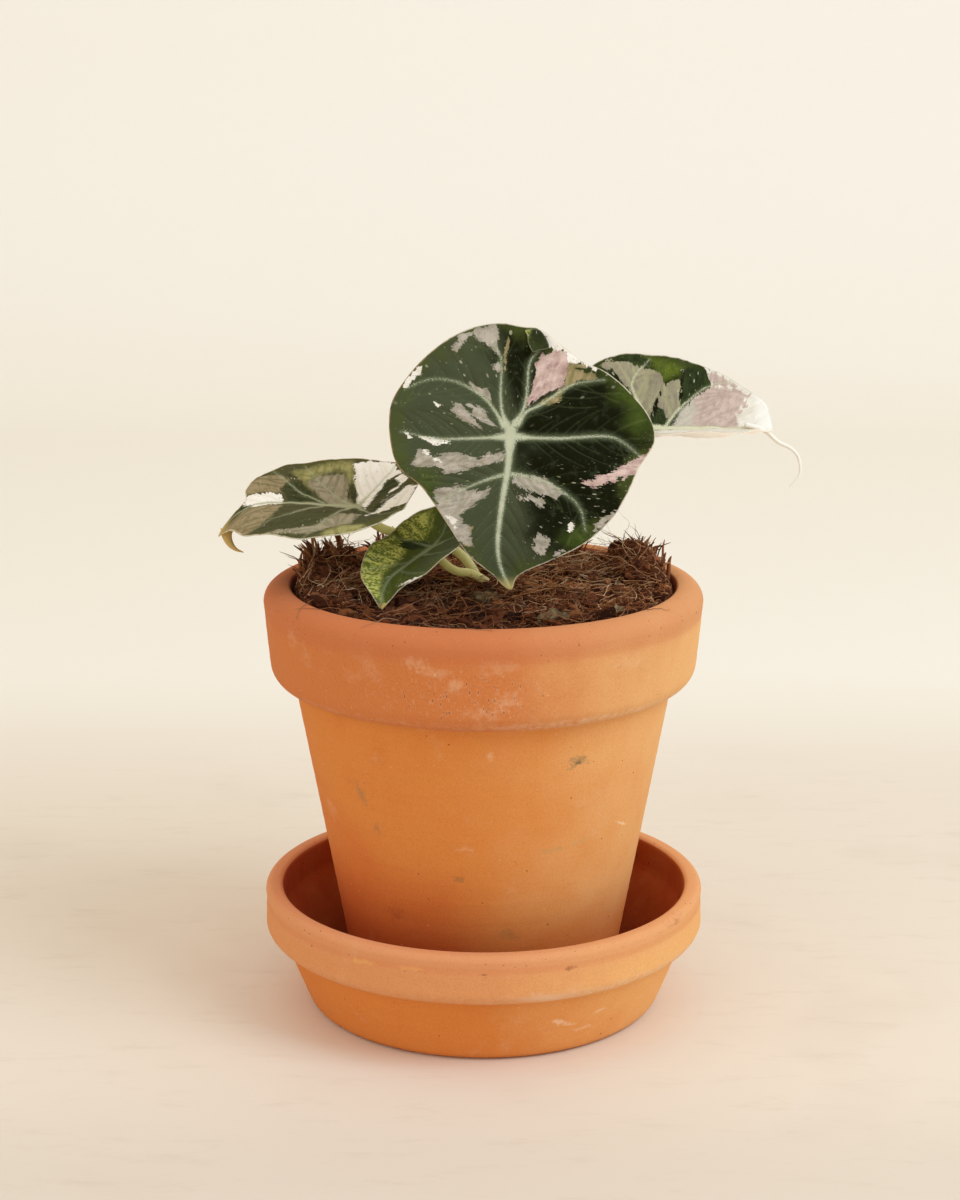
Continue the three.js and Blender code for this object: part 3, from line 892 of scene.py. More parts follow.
def saucer() -> ClayWare:
    """The saucer with a band round its top.

    Returns:
        The saucer.
    """
    profile = [
        (0, 0), *arc(53.6, 5, 5, -90, -25, 6), (60.2, 8), (66.2, 22.9),
        *arc(66.8, 27.8, 4.6, -70, 0, 8), *arc(69.1, 37.7, 2.3, 0, 90, 6),
        *arc(67.6, 38, 2, 90, 180, 6), (65.2, 29.9), (60.2, 19.9), (53.2, 8), (51.2, 6), (0, 6),
    ]
    chalky, scratched = srgb(236, 200, 168), srgb(246, 214, 180)
    finish = ClayFinish(
        "terracotta_saucer", base=srgb(220, 134, 64), pale=srgb(244, 186, 118), deep=srgb(206, 102, 44),
        rim=srgb(222, 152, 98), rim_from=23.2, wet_and_shade_top=-60,
        inside=srgb(176, 84, 36), lip=srgb(222, 150, 108),
        line=35.2, bloom=25.0,
        marks=(
            Mark((23.5, -57.7, 13.3), (4.5, 9, 0.9), scratched, 0.5, -20),
            Mark((26, -57, 11.6), (3.5, 9, 0.7), scratched, 0.45, -10),
            Mark((36.1, -51.4, 14.5), (2.6, 9, 0.8), scratched, 0.45, 10),
            Mark((30, -56, 9), (5, 9, 1), scratched, 0.3),
            Mark((20, -68, 25.5), (13, 12, 2.2), chalky, 0.45, -6),
            Mark((-38, -60, 34.5), (5, 9, 1.2), srgb(236, 178, 96), 0.5),
            Mark((-22, -68, 35), (6, 9, 1), srgb(238, 176, 100), 0.4),
            Mark((0, -71, 34.4), (1.6, 6, 0.35), srgb(110, 54, 30), 0.9),
            Mark((26, -66, 34.6), (1.8, 6, 0.9), srgb(150, 84, 48), 0.7),
            Mark((59, -37, 38.6), (5, 7, 1.6), srgb(150, 84, 56), 0.55),
        ))
    return ClayWare("fine_saucer", "saucer", "saucer_clay", finish, profile, False, 30, 8,
                    grooves=((35.2, 0.26, 1.4), (31.5, 0.12, 1.4), (26.5, -0.12, 1.2)))


# Leaves


class Tint(Enum):
    """The kinds of patch on the leaves, in the order that they are laid on."""

    LIME = "lime"
    TAN = "tan"
    GREY = "grey"
    PINK = "pink"
    CREAM = "cream"
    DARK = "dark"


@dataclass(frozen=True)
class Shade:
    """A patch's two mottled colours, the colour of its fine veins and half the width of its edge."""

    main: Colour
    mottle: Colour
    line: Colour
    soft: float = 0.16


SHADES = {
    Tint.LIME: Shade(srgb(72, 86, 32), srgb(54, 66, 26), srgb(88, 100, 46), 4),
    Tint.TAN: Shade(srgb(168, 150, 110), srgb(122, 112, 70), srgb(96, 92, 50)),
    Tint.GREY: Shade(srgb(188, 176, 160), srgb(142, 135, 118), srgb(140, 134, 108)),
    Tint.PINK: Shade(srgb(218, 190, 178), srgb(158, 124, 116), srgb(196, 166, 150)),
    Tint.CREAM: Shade(srgb(246, 240, 228), srgb(232, 222, 206), srgb(220, 208, 186)),
    Tint.DARK: Shade(srgb(40, 46, 24), srgb(58, 68, 34), srgb(40, 46, 24)),
}

LEFT_SHADES = {
    **SHADES,
    Tint.LIME: Shade(srgb(164, 154, 98), srgb(118, 112, 60), srgb(104, 98, 54), 1.8),
    Tint.TAN: Shade(srgb(160, 140, 104), srgb(126, 110, 74), srgb(88, 80, 46), 0.6),
    Tint.GREY: Shade(srgb(164, 150, 122), srgb(136, 124, 96), srgb(108, 100, 70), 0.8),
    Tint.CREAM: Shade(srgb(250, 240, 226), srgb(242, 230, 212), srgb(236, 224, 202)),
    Tint.DARK: Shade(srgb(50, 54, 28), srgb(80, 78, 46), srgb(60, 62, 34), 0.5),
}

RIGHT_SHADES = {
    **SHADES,
    Tint.LIME: Shade(srgb(96, 108, 34), srgb(72, 84, 30), srgb(84, 96, 38), 2.4),
    Tint.TAN: Shade(srgb(204, 192, 174), srgb(182, 174, 156), srgb(212, 204, 182), 1.6),
    Tint.CREAM: Shade(srgb(234, 226, 210), srgb(224, 213, 195), srgb(216, 203, 182)),
    Tint.GREY: Shade(srgb(160, 150, 120), srgb(134, 124, 104), srgb(178, 170, 128)),
    Tint.PINK: Shade(srgb(208, 184, 168), srgb(178, 154, 142), srgb(176, 152, 138), 0.4),
}

SMALL_SHADES = {
    **SHADES,
    Tint.LIME: Shade(srgb(204, 202, 106), srgb(84, 98, 30), srgb(84, 96, 38), 1.2),
}


@dataclass(frozen=True)
class LeafFinish:
    """A velvety leaf with pale veins, patches, specks and a thin pale rim; one half is painted lighter as
    sheen, and the underside can glow as painted light.
    """

    name: str
    tints: tuple[Tint, ...]
    deep: Colour = srgb(22, 24, 7)
    # soft is painted sheen: the lighter green laid on one half and the lower panels, where the velvet catches
    # the light.
    soft: Colour = srgb(72, 77, 54)
    green: Colour = srgb(72, 79, 56)
    bright: Colour = srgb(76, 84, 38)
    vein: Colour = srgb(198, 200, 170)
    rim: Colour = srgb(222, 208, 180)
    back: Colour = srgb(166, 170, 134)
    tip: Colour = srgb(196, 176, 110)
    tip_from: float = 44.0
    tip_to: float = 49.0
    speckled: float = 0.65
    mottled: Pair = (0.42, 0.62)
    grain: float = 1.0
    rimmed: float = 0.85
    heart: float = 0.5
    # glow is painted light: how strongly the underside emits its own colour, as if lit through the leaf.
    glow: float = 0.0
    veiled: float = 0.6
    edge_far: Colour = srgb(176, 142, 104)
    fleck_pale: Colour = srgb(214, 206, 182)
    fleck_dull: Colour = srgb(150, 152, 112)
    vein_glow: Colour = srgb(136, 146, 110)
    faint_line: Colour = srgb(134, 146, 96)
    shades: dict[Tint, Shade] = field(default_factory=lambda: SHADES)

    def build(self) -> bpy.types.Material:
        """Makes the material.

        Returns:
            The material.
        """
        s = Surface(self.name)
        flat, rays = s.attribute("flat", "Vector"), s.attribute("rays", "Vector")
        u, v, _ = s.split(flat)
        rim, vein, lateral = s.attribute("rim"), s.attribute("vein"), s.attribute("lateral")
        streaks = s.noise(rays, 0.75, 3, 0.6)
        fine = s.noise(flat, 1.7, 3, 0.6)
        blotch = s.noise(flat, 0.33 * self.grain, 3, 0.6)
        broad = s.noise(flat, 0.07, 2)
        colour = self._green(s, u + v * 0.2, rim, vein, streaks, broad)
        colour = s.mix(s.step(blotch, 0.5, 0.75) * 0.3, colour, self.green)
        ragged = (streaks - 0.5) * 4.6 + (fine - 0.5) * 2.2
        patched: Sock | None = None
        for tint in self.tints:
            shade = self.shades[tint]
            depth = s.attribute(tint.value) + ragged
            mottle = s.step(streaks * 0.45 + blotch * 0.4 + fine * 0.15, *self.mottled)
            paint = s.mix(mottle * 0.85, shade.main, shade.mottle)
            lined = s.step(lateral + (streaks - 0.5) * 0.7, 0.75, 0.05)
            paint = s.mix(lined * 0.45, paint, shade.line)
            colour = s.mix(s.step(depth, -shade.soft, shade.soft), colour, paint)
            if tint is not Tint.DARK and shade.soft < 2:
                patched = depth if patched is None else patched.most(depth)
        if patched is not None:
            colour = self._specks(s, flat, rays, patched, colour)
        colour = self._veins(s, flat, vein, lateral, fine, colour)
        edge = s.step(rim + (streaks - 0.5) * 0.5, 0.42, 0.14)
        edging = s.mix(s.step(u, 12, 34), self.rim, self.edge_far)
        colour = s.mix(edge * s.step(blotch, 0.3, 0.5) * self.rimmed, colour, edging)
        colour = s.mix(s.step(v, self.tip_from, self.tip_to) * 0.85, colour, self.tip)
        colour = s.mix(s.step(v, self.tip_to, self.tip_to + 0.8), colour, self.tip)
        colour = s.mix(s.attribute("under") * self.veiled, colour, self.back)
        velvet, _, _ = s.cells(flat, 1.5)
        height = velvet * 0.3 + fine * 0.3 + s.step(lateral, 0.05, 0.7) * 0.6
        # Painted light: the underside emits its own colour, as much as glow says, standing in for light
        # shining through the leaf.
        painted_glow = s.mix(s.attribute("under") * self.glow, (0.0, 0.0, 0.0), colour)
        return s.finish(base_color=colour, roughness=0.66 + (fine - 0.5) * 0.2, normal=s.bump(height, 0.14),
                        specular_ior_level=0.03, emission_color=painted_glow, emission_strength=1.0)

    def _green(self, s: Surface, across: Sock, rim: Sock, vein: Sock, streaks: Sock, broad: Sock) -> Sock:
        """The leaf's green: darkest between the veins and brighter at the rim, with one half and the lower
        panels painted lighter as sheen.

        Args:
            s: The material that the nodes are added to.
            across: How far a place lies towards the half that is painted lighter as sheen.
            rim: The distance from the rim.
            vein: The distance from a main vein.
            streaks: Noise along the rays.
            broad: Noise of large patches.

        Returns:
            The colour.
        """
        # Painted sheen: the soft colour is laid on one half and the lower panels instead of the deep one.
        deep = s.mix(s.step(across + (broad - 0.5) * 24, -7, 6), self.deep, self.soft)
        colour = s.mix(s.step(vein + (streaks - 0.5) * 2.4, 2.1, 0.1) * 0.62, deep, self.green)
        edge = s.step(rim + (broad - 0.5) * 24 + (streaks - 0.5) * 9, 6, -2)
        return s.mix(edge * 0.7, colour, self.bright)

    def _specks(self, s: Surface, flat: Sock, rays: Sock, patched: Sock, colour: Sock) -> Sock:
        """Pale flecks near the patches, drawn out along the veins, and dark ones inside their edges.

        Args:
            s: The material that the nodes are added to.
            flat: The place in the blade's plane.
            rays: The place along the rays.
            patched: The depth inside the patches.
            colour: The colour so far.

        Returns:
            The colour.
        """
        close = s.step(patched, -9, -1) * self.speckled
        for scale, share, strength in ((1.1, 0.62, 1.0), (2.3, 0.56, 0.55)):
            near, pick, other = s.cells(rays, scale)
            fleck = s.step(near - (pick - 0.6) * share, 0.06, -0.05)
            tone = s.mix(other, self.fleck_pale, self.fleck_dull)
            colour = s.mix(fleck * close * strength, colour, tone)
        stray, _, _ = s.cells(s.vector("ADD", flat, (40.0, 12.0, 0.0)), 0.9)
        size = s.noise(flat, 0.5, 2)
        at_edge = s.step(patched, 3, 0.4) * s.step(patched, 0, 0.3)
        dark = s.step(stray - (size - 0.5) * 0.5, 0.14, 0.07) * at_edge
        return s.mix(dark * 0.8, colour, self.green)

    def _veins(self, s: Surface, flat: Sock, vein: Sock, lateral: Sock, fine: Sock, colour: Sock) -> Sock:
        """Pale feathered veins with a soft glow beside them, and very faint ones between.

        Args:
            s: The material that the nodes are added to.
            flat: The place in the blade's plane.
            vein: The distance from a main vein.
            lateral: The distance from a finer one.
            fine: Fine noise.
            colour: The colour so far.

        Returns:
            The colour.
        """
        u, v, _ = s.split(flat)
        heart = s.step((u * u + (v - 1) * (v - 1)) ** 0.5, 7.5, 1) * self.heart
        vein = vein - heart * 0.75
        glow = s.step(vein + (fine - 0.5) * 1.8, 1.1, -0.2)
        colour = s.mix(glow * 0.24, colour, self.vein_glow)
        colour = s.mix(s.step(lateral, 0.3, 0) * 0.07, colour, self.faint_line)
        feather = (s.noise(flat, 2.6, 3, 0.7) - 0.5) * (2.6 + heart * 3.4)
        return s.mix(s.step(vein + feather, 0.34, -0.5) * 0.92, colour, self.vein)


@dataclass
class BladeForm:
    """A leaf blade: a thin sheet laid over a plane.

    In the plane v runs from the junction with the petiole towards the tip, and u across it. The
    outline and the veins are drawn there.
    """

    junction: Triple
    towards_tip: Triple
    facing: Triple
    outline: Flat
    veins: list[Flat]
    fold: float = 0
    fold_at_tip: float = 0
    bow: float = 0
    dome: float = 0
    tip_drop: Triple = (0, 40, 2)
    lobe_drop: Pair = (0, 20)
    quilt: Pair = (0.9, 5)
    fold_round: float = 3
    thickness: float = 0.7

    def axes(self) -> tuple[np.ndarray, np.ndarray, np.ndarray]:
        """The directions of u and v and the way that the face looks.

        Returns:
            The three unit vectors.
        """
        along = np.array(self.towards_tip, float)
        along /= np.linalg.norm(along)
        normal = np.array(self.facing, float)
        normal -= (normal @ along) * along
        normal /= np.linalg.norm(normal)
        return np.cross(along, normal), along, normal

    def height(self, flat: np.ndarray) -> np.ndarray:
        """How far the sheet lies above its plane.

        Args:
            flat: Rows of (u, v).

        Returns:
            One height a row.
        """
        u, v = flat[:, 0], flat[:, 1]
        depth, reach, power = self.tip_drop
        lobe_depth, lobe_reach = self.lobe_drop
        to_tip = np.clip(v / reach, 0, 1.3)
        to_lobe = np.clip(-v / lobe_reach, 0, 1.5)
        fold = self.fold + (self.fold_at_tip - self.fold) * to_tip ** 2
        from_midrib = u - self.bow * np.sin(math.pi * np.minimum(to_tip, 1))
        lift = fold * (np.hypot(from_midrib, self.fold_round) - self.fold_round) - self.dome * u * u
        lift -= depth * to_tip ** power + lobe_depth * to_lobe ** 2
        if not self.veins:
            return lift
        gap = np.min([distance_to_line(flat, np.array(vein, float)) for vein in self.veins], axis=0)
        return lift - self.quilt[0] * np.exp(-(gap / self.quilt[1]) ** 2)

    def place(self, flat: np.ndarray, lift: np.ndarray) -> np.ndarray:
        """Points of space for rows of (u, v) and their heights above the plane.

        Args:
            flat: Rows of (u, v).
            lift: One height a row.

        Returns:
            Rows of points.
        """
        across, along, normal = self.axes()
        return (np.array(self.junction) + flat[:, :1] * across + flat[:, 1:] * along
                + lift[:, None] * normal)


@dataclass
class Leaf:
    """A leaf blade with its veins, patches and finish."""

    name: str
    form: BladeForm
    patches: dict[Tint, list[Flat]]
    finish: LeafFinish
    replaced: tuple[str, ...] = ()
    vein_width: Pair = (0.5, 0.02)
    midrib_width: Pair = (1.5, 0.15)
    lateral_width: Pair = (0.16, 0.02)
    branch_gap: float = 4.4
    branch_angle: float = 46
    branch_bend: float = 2.4
    branch_step: float = 1.5
    branch_steps: int = 11
    branch_clearance: float = 0.6
    bare_start: float = 2.5
    bare_end: float = 2
    crease: Pair = (0.2, 1.1)
    rib: Pair = (0.9, 0.8)
    waves: Pair = (0.16, 13)
    rim_share: float = 0.45
    crowding: float = 0.85
    mark_limit: float = 12
    rings: int = 66
    per_span: int = 14
    seed: int = 1
    drips: list[Skin] = field(default_factory=list)

    def laterals(self, rim: np.ndarray, mains: list[np.ndarray]) -> list[np.ndarray]:
        """The finer veins that leave the main ones at a steady angle and bend towards the tip.

        Args:
            rim: The blade's outline.
            mains: The main veins.

        Returns:
            Lines in the blade's plane.
        """
        draw = random.Random(self.seed)
        found = []
        for number, main in enumerate(mains):
            spans = np.linalg.norm(np.diff(main, axis=0), axis=1)
            length = float(spans.sum())
            place = self.bare_start
            while place < length - self.bare_end:
                at = int(np.searchsorted(np.cumsum(spans), place))
                way = math.atan2(*(main[at + 1] - main[at])[::-1])
                for side in (-1, 1):
                    angle = way + side * math.radians(self.branch_angle + draw.uniform(-6, 6))
                    bend = -side * math.radians(self.branch_bend)
                    line = self._branch(main[at], angle, bend, rim, mains, number)
                    if len(line) > 3:
                        found.append(line)
                place += self.branch_gap * draw.uniform(0.8, 1.2)
        return found

    def _branch(self, start: np.ndarray, angle: float, bend: float, rim: np.ndarray,
                mains: list[np.ndarray], own: int) -> np.ndarray:
        """One lateral vein, followed until it meets the rim or another main vein.

        Args:
            start: Where it leaves its main vein.
            angle: Its first direction, in radians.
            bend: How much it turns at each step.
            rim: The blade's outline.
            mains: The main veins.
            own: The number of its main vein.

        Returns:
            The points of the vein.
        """
        line = [np.array(start)]
        others = [main for i, main in enumerate(mains) if i != own]
        for _ in range(self.branch_steps):
            ahead = line[-1] + self.branch_step * np.array([math.cos(angle), math.sin(angle)])
            home = distance_to_line(ahead[None], mains[own][::2])[0]
            strange = min(distance_to_line(ahead[None], other[::2])[0] for other in others)
            meets = len(line) > 2 and strange < home + self.branch_clearance
            if meets or not inside(ahead[None], rim)[0]:
                break
            line.append(ahead)
            angle += bend
        return np.array(line)

    def build(self) -> None:
        """Makes the blade's mesh with the attributes that its finish reads."""
        form = self.form
        rim = smooth_line(form.outline, self.per_span, closed=True)
        shares = (np.arange(1, self.rings + 1) / self.rings) ** self.crowding
        flat = np.vstack([np.zeros((1, 2)), *(rim * share for share in shares)])
        mains = [smooth_line(vein, 5) for vein in form.veins]
        values = self._measure(flat, rim, mains)
        lift = form.height(flat) + self.waves[0] * ripple(flat, self.waves[1], self.seed)
        lift -= self._ridge(values["lateral"], self.crease)
        thick = form.thickness * (self.rim_share + (1 - self.rim_share) * np.clip(values["rim"] / 4, 0, 1))
        ribs = self._ridge(values["vein"], self.rib) * np.clip(values["rim"] / 6, 0, 1)
        over = form.place(flat, lift)
        under = form.place(flat, lift - thick - ribs)
        sides = len(rim)
        skin = Skin(under[0], [*self._rings(under, sides), *self._rings(over, sides)[::-1]], over[0])
        points, faces = joined([skin, *self.drips])
        spread = {key: self._both_sides(value, sides) for key, value in values.items()}
        spread["under"] = np.repeat([1.0, 0.0], len(flat))
        added = len(points) - len(skin)
        spread = {key: self._extended(key, value, added) for key, value in spread.items()}
        piece = make_piece(self.name, points, faces, self.finish.build(), spread)
        dress(piece, "leaf_blade", *self.replaced)

    @staticmethod
    def _ridge(away: np.ndarray, shape: Pair) -> np.ndarray:
        """A rounded ridge of a (height, half width), by the distance from its line."""
        height, half_width = shape
        return height * np.exp(-(np.maximum(away, 0) / half_width) ** 2)

    def _rings(self, value: np.ndarray, sides: int) -> list[np.ndarray]:
        """The rows of a value of the flat points, ring by ring from the middle out."""
        return [value[1 + i * sides:1 + (i + 1) * sides] for i in range(self.rings)]

    def _both_sides(self, value: np.ndarray, sides: int) -> np.ndarray:
        """Repeats a value of the flat points in the order of the skin's points."""
        rings = self._rings(value, sides)
        return np.concatenate([value[:1], *rings, *rings[::-1], value[:1]])

    def _extended(self, key: str, value: np.ndarray, count: int) -> np.ndarray:
        """Values for the points of a drip tip, which takes the colour of the blade's tip.

        Args:
            key: The value's name.
            value: The blade's values.
            count: How many points the drip tip has.

        Returns:
            The values of both.
        """
        if key in ("flat", "rays"):
            return np.vstack([value, np.tile([0.0, self.finish.tip_to + 1, 0.0], (count, 1))])
        off_the_patches = -6.0
        fill = {"rim": 5.0, "vein": 6.0, "lateral": 3.0, "under": 0.0}.get(key, off_the_patches)
        return np.concatenate([value, np.full(count, fill)])

    def _measure(self, flat: np.ndarray, rim: np.ndarray, mains: list[np.ndarray]) -> dict[str, np.ndarray]:
        """Distances in the blade's plane, in millimetres, from the rim, the veins and the patches.

        Args:
            flat: Rows of (u, v).
            rim: The blade's outline.
            mains: The main veins.

        Returns:
            The distances, and the places for noise.
        """
        closed = np.vstack([rim, rim[:1]])
        far = [np.full(len(flat), 9.0)]
        widths = [self.midrib_width] + [self.vein_width] * len(mains)
        veins = [distance_to_line(flat, main, *width) for main, width in zip(mains, widths)]
        laterals = [distance_to_line(flat, line, *self.lateral_width) for line in self.laterals(rim, mains)]
        values = {"rim": distance_to_line(flat, closed[::2]), "vein": np.min(far + veins, axis=0),
                  "lateral": np.min(far + laterals, axis=0)}
        for tint in self.finish.tints:
            depths = [depth_inside(flat, np.array(outline, float)) for outline in self.patches[tint]]
            values[tint.value] = np.clip(np.max(depths, axis=0), -self.mark_limit, self.mark_limit)
        values["rays"] = self._rays(flat)
        values["flat"] = np.column_stack([flat, np.zeros(len(flat))])
        return values

    @staticmethod
    def _rays(flat: np.ndarray) -> np.ndarray:
        """Places for the noise that runs along the blade's rays, which leave its midrib towards the rim.

        Args:
            flat: Rows of (u, v).

        Returns:
            Rows of places.
        """
        softness = 4
        anchor = 0.75 * softness * np.logaddexp(0, flat[:, 1] / softness)
        away = np.column_stack([flat[:, 0], flat[:, 1] - anchor])
        reach = np.linalg.norm(away, axis=1)
        way = away / np.maximum(reach, 0.5)[:, None]
        return np.column_stack([14 * way[:, 0], 14 * way[:, 1] + 1.2 * anchor, 0.3 * reach])


FRONT_FORM = BladeForm(
    junction=(8.3, -17, 190.9), towards_tip=(0, -14, -46.5), facing=(0, -46.5, 14),
    dome=0.0018, tip_drop=(3, 49, 2), lobe_drop=(1, 34),
    outline=[
        (0, 49), (-2, 45), (-12.4, 40), (-22, 35.2), (-31.6, 26.5), (-36.5, 18.2), (-39.5, 11.5),
        (-44.6, 2.6), (-42.8, -4.6), (-36.5, -12.4), (-29.4, -18.4), (-22.2, -21.5), (-16, -26.3),
        (-8.5, -31.7), (-4, -32.2), (3.5, -33.4), (13, -31.6), (23, -25.8), (31.8, -17), (36.8, -8.6),
        (37.2, 2.5), (34.5, 11.2), (27.5, 17.3), (20, 28), (13, 38.4), (6, 44),
    ],
    veins=[
        [(0, 0), (0.8, 10.8), (3, 24.6), (4, 35.3), (3.2, 41.5), (0, 49)],
        [(1, -1.5), (2.6, -5.6), (3.1, -11.5), (3.1, -23), (6.3, -28.3)],
        [(-1, -1.9), (-3.8, -6.2), (-5, -11.5), (-6.1, -21.7), (-9.1, -24.9)],
        [(2, -1.5), (4.5, -5.6), (7.6, -9.6), (15.9, -14.9), (24.8, -16.1), (32, -13.5)],
        [(-2.3, -2.2), (-5, -5.9), (-9, -7.8), (-16.4, -12.8), (-20.2, -14.7), (-29, -16)],
        [(0, 1.9), (12.5, 2.4), (23.2, 2.3), (34, 0)],
        [(0, 1.9), (-15.2, 2.4), (-30, 1.6), (-33.7, 2.8), (-40.5, 8)],
        [(1, 13.3), (6.3, 14.8), (14, 17.8), (23, 22)],
        [(1, 13.3), (-4.4, 13.9), (-13.6, 17.2), (-21.3, 23.9), (-23, 31)],
    ])

FRONT_PATCHES: dict[Tint, list[Flat]] = {
    Tint.LIME: [
        [(28.5, 12.5), (23.5, 14), (24, 20.5)],
        # This patch along the right margin is partly the leaf's own green and partly painted light, where the
        # margin turns to catch the light.
        [(-27.5, -21), (-36, -14), (-41.5, -9), (-43, -2.5), (-39.5, 1.5), (-35.5, -2), (-37, -7),
         (-31.5, -10.5), (-33.5, -15)],
        [(-15.5, 33.5), (-20, 30.5), (-23.5, 31.5), (-23.5, 35), (-19, 35.5)],
    ],
    Tint.TAN: [
        [(0.5, -29), (2, -15.5), (2.5, -24)],
        [(-16.5, -20.5), (-23, -21), (-26, -16.5), (-16.5, -13.5)],
        [(-16.5, -13), (-14.5, -8.5), (-7, -7.5)],
        [(12.5, 37), (18, 31.5), (17.5, 28.5), (12, 30)],
    ],
    Tint.GREY: [
        [(4.5, -33), (3, -23.5), (11.5, -30), (13.5, -29.5), (16, -24.5), (18, -25), (15.5, -30)],
        [(16.5, -22.5), (14.5, -21.5), (16.5, -21)],
        [(3, -21), (4, -15.5), (5.5, -20.5)],
        [(12.5, -15), (7, -12.5), (5.5, -9), (11, -11.5)],
        [(17, -8.5), (15.5, -8.5), (8.5, 0), (16, -3.5), (18, -6.5)],
        [(13.5, -8), (12, -8.5), (8.5, -6.5), (4.5, -0.5), (12, -5), (11.5, -7)],
        [(2, 6.5), (2, 9.5), (19.5, 13), (24, 11), (30.5, 11), (28, 6), (23.5, 8), (16.5, 6.5), (10, 9),
         (6.5, 6.5), (5.5, 7.5)],
        [(23.5, 18), (19, 17), (14, 17), (13, 18.5), (6.5, 18), (7.5, 20.5), (11.5, 22), (10, 22),
         (15.5, 26), (15.5, 28), (13, 29.5), (11.5, 36), (16.5, 34), (22.5, 24.5)],
        [(-0.5, 13.5), (-11, 15), (-16.5, 19.5), (-14, 21), (-6, 19), (-0.5, 16)],
        [(-2, 20), (-8.5, 20.5), (-10.5, 21.5), (-10, 24), (-7, 22), (-2.5, 21.5)],
        [(-33, 25), (-25, 32), (-27, 27.5)],
        [(-8.5, 32), (-12.5, 33.5), (-10, 39.5), (-7, 36.5), (-7, 32.5)],
        [(-13, 38.5), (-16, 36.5), (-18, 37)],
    ],
    Tint.PINK: [
        [(-18, -24.5), (-16.5, -14.5), (-5, -7.5), (-7.5, -16.5), (-7.5, -22.5), (-14.5, -26)],
        [(-43.5, 5.5), (-43.5, 7.5), (-39, 13), (-35.5, 14), (-35, 15.5), (-30.5, 15.5), (-26.5, 17.5),
         (-22, 16), (-33.5, 11.5)],
    ],
    Tint.CREAM: [
        [(26, -22), (28, -18.5), (33, -13.5), (32, -16)],
        [(24.5, -10), (21.5, -7), (23, -7)],
        [(33, -1), (30.5, 2.5), (31.5, 2.5)],
        [(28, 1.5), (18.5, 3.5), (19, 4.5), (24.5, 4)],
        [(26.5, 6), (21.5, 9.5), (26, 7.5)],
        [(20.5, 26), (17, 26), (17, 30.5)],
        [(-9, -31.5), (-16, -28.5), (-27, -21), (-26, -19), (-21.5, -20.5), (-18, -21.5), (-17, -24),
         (-15, -25.4), (-11.5, -25.4)],
        [(-18.6, 27), (-19, 30), (-18, 31)],
    ],
    Tint.DARK: [
        [(-9, -24), (-7.5, -21), (-7.5, -23.5)],
        [(-20.5, -19.5), (-24.5, -19), (-24, -18)],
        [(-33, 15), (-34, 14.5), (-34.5, 16.5)],
    ],
}

LEFT_FORM = BladeForm(
    junction=(-39.9, 0, 164.4), towards_tip=(-1, 0, 0), facing=(0, -0.225, 0.974),
    fold=0.15, fold_at_tip=-0.1, bow=3, tip_drop=(10.5, 45, 8), lobe_drop=(-4, 20),
    outline=[
        (-1, 44.5), (-4, 43.4), (-11, 39.5), (-20, 33.5), (-26.5, 25.5), (-32.5, 15), (-33, 6), (-28, -1.5),
        (-19, -9), (-10, -13.8), (-1, -16.5), (8, -19.5), (16, -19.5), (23, -14), (26.5, -6), (28.6, 6),
        (29.2, 17), (28, 27), (24, 34), (16, 37), (8, 36.5), (2.4, 40.5),
    ],
    veins=[
        [(0, 0), (2, 12), (3.6, 26), (3.6, 33), (1.5, 38), (-1, 44.5)],
        [(0, 0), (-5.8, -4.2), (-9, -9), (-5.5, -14.8)],
        [(0, 0), (5.4, -2.4), (12.7, -6), (23, -11.5)],
        [(0, 2), (-7.9, 7.4), (-16.3, 10.3), (-31, 15)],
        [(1, 11), (-3.6, 18), (-8.1, 24), (-19, 33)],
        [(1, 2), (7.7, 7.6), (16.2, 12.9), (27, 18.5)],
        [(3, 11), (10.3, 19), (19.6, 24.5), (26.5, 29)],
    ])

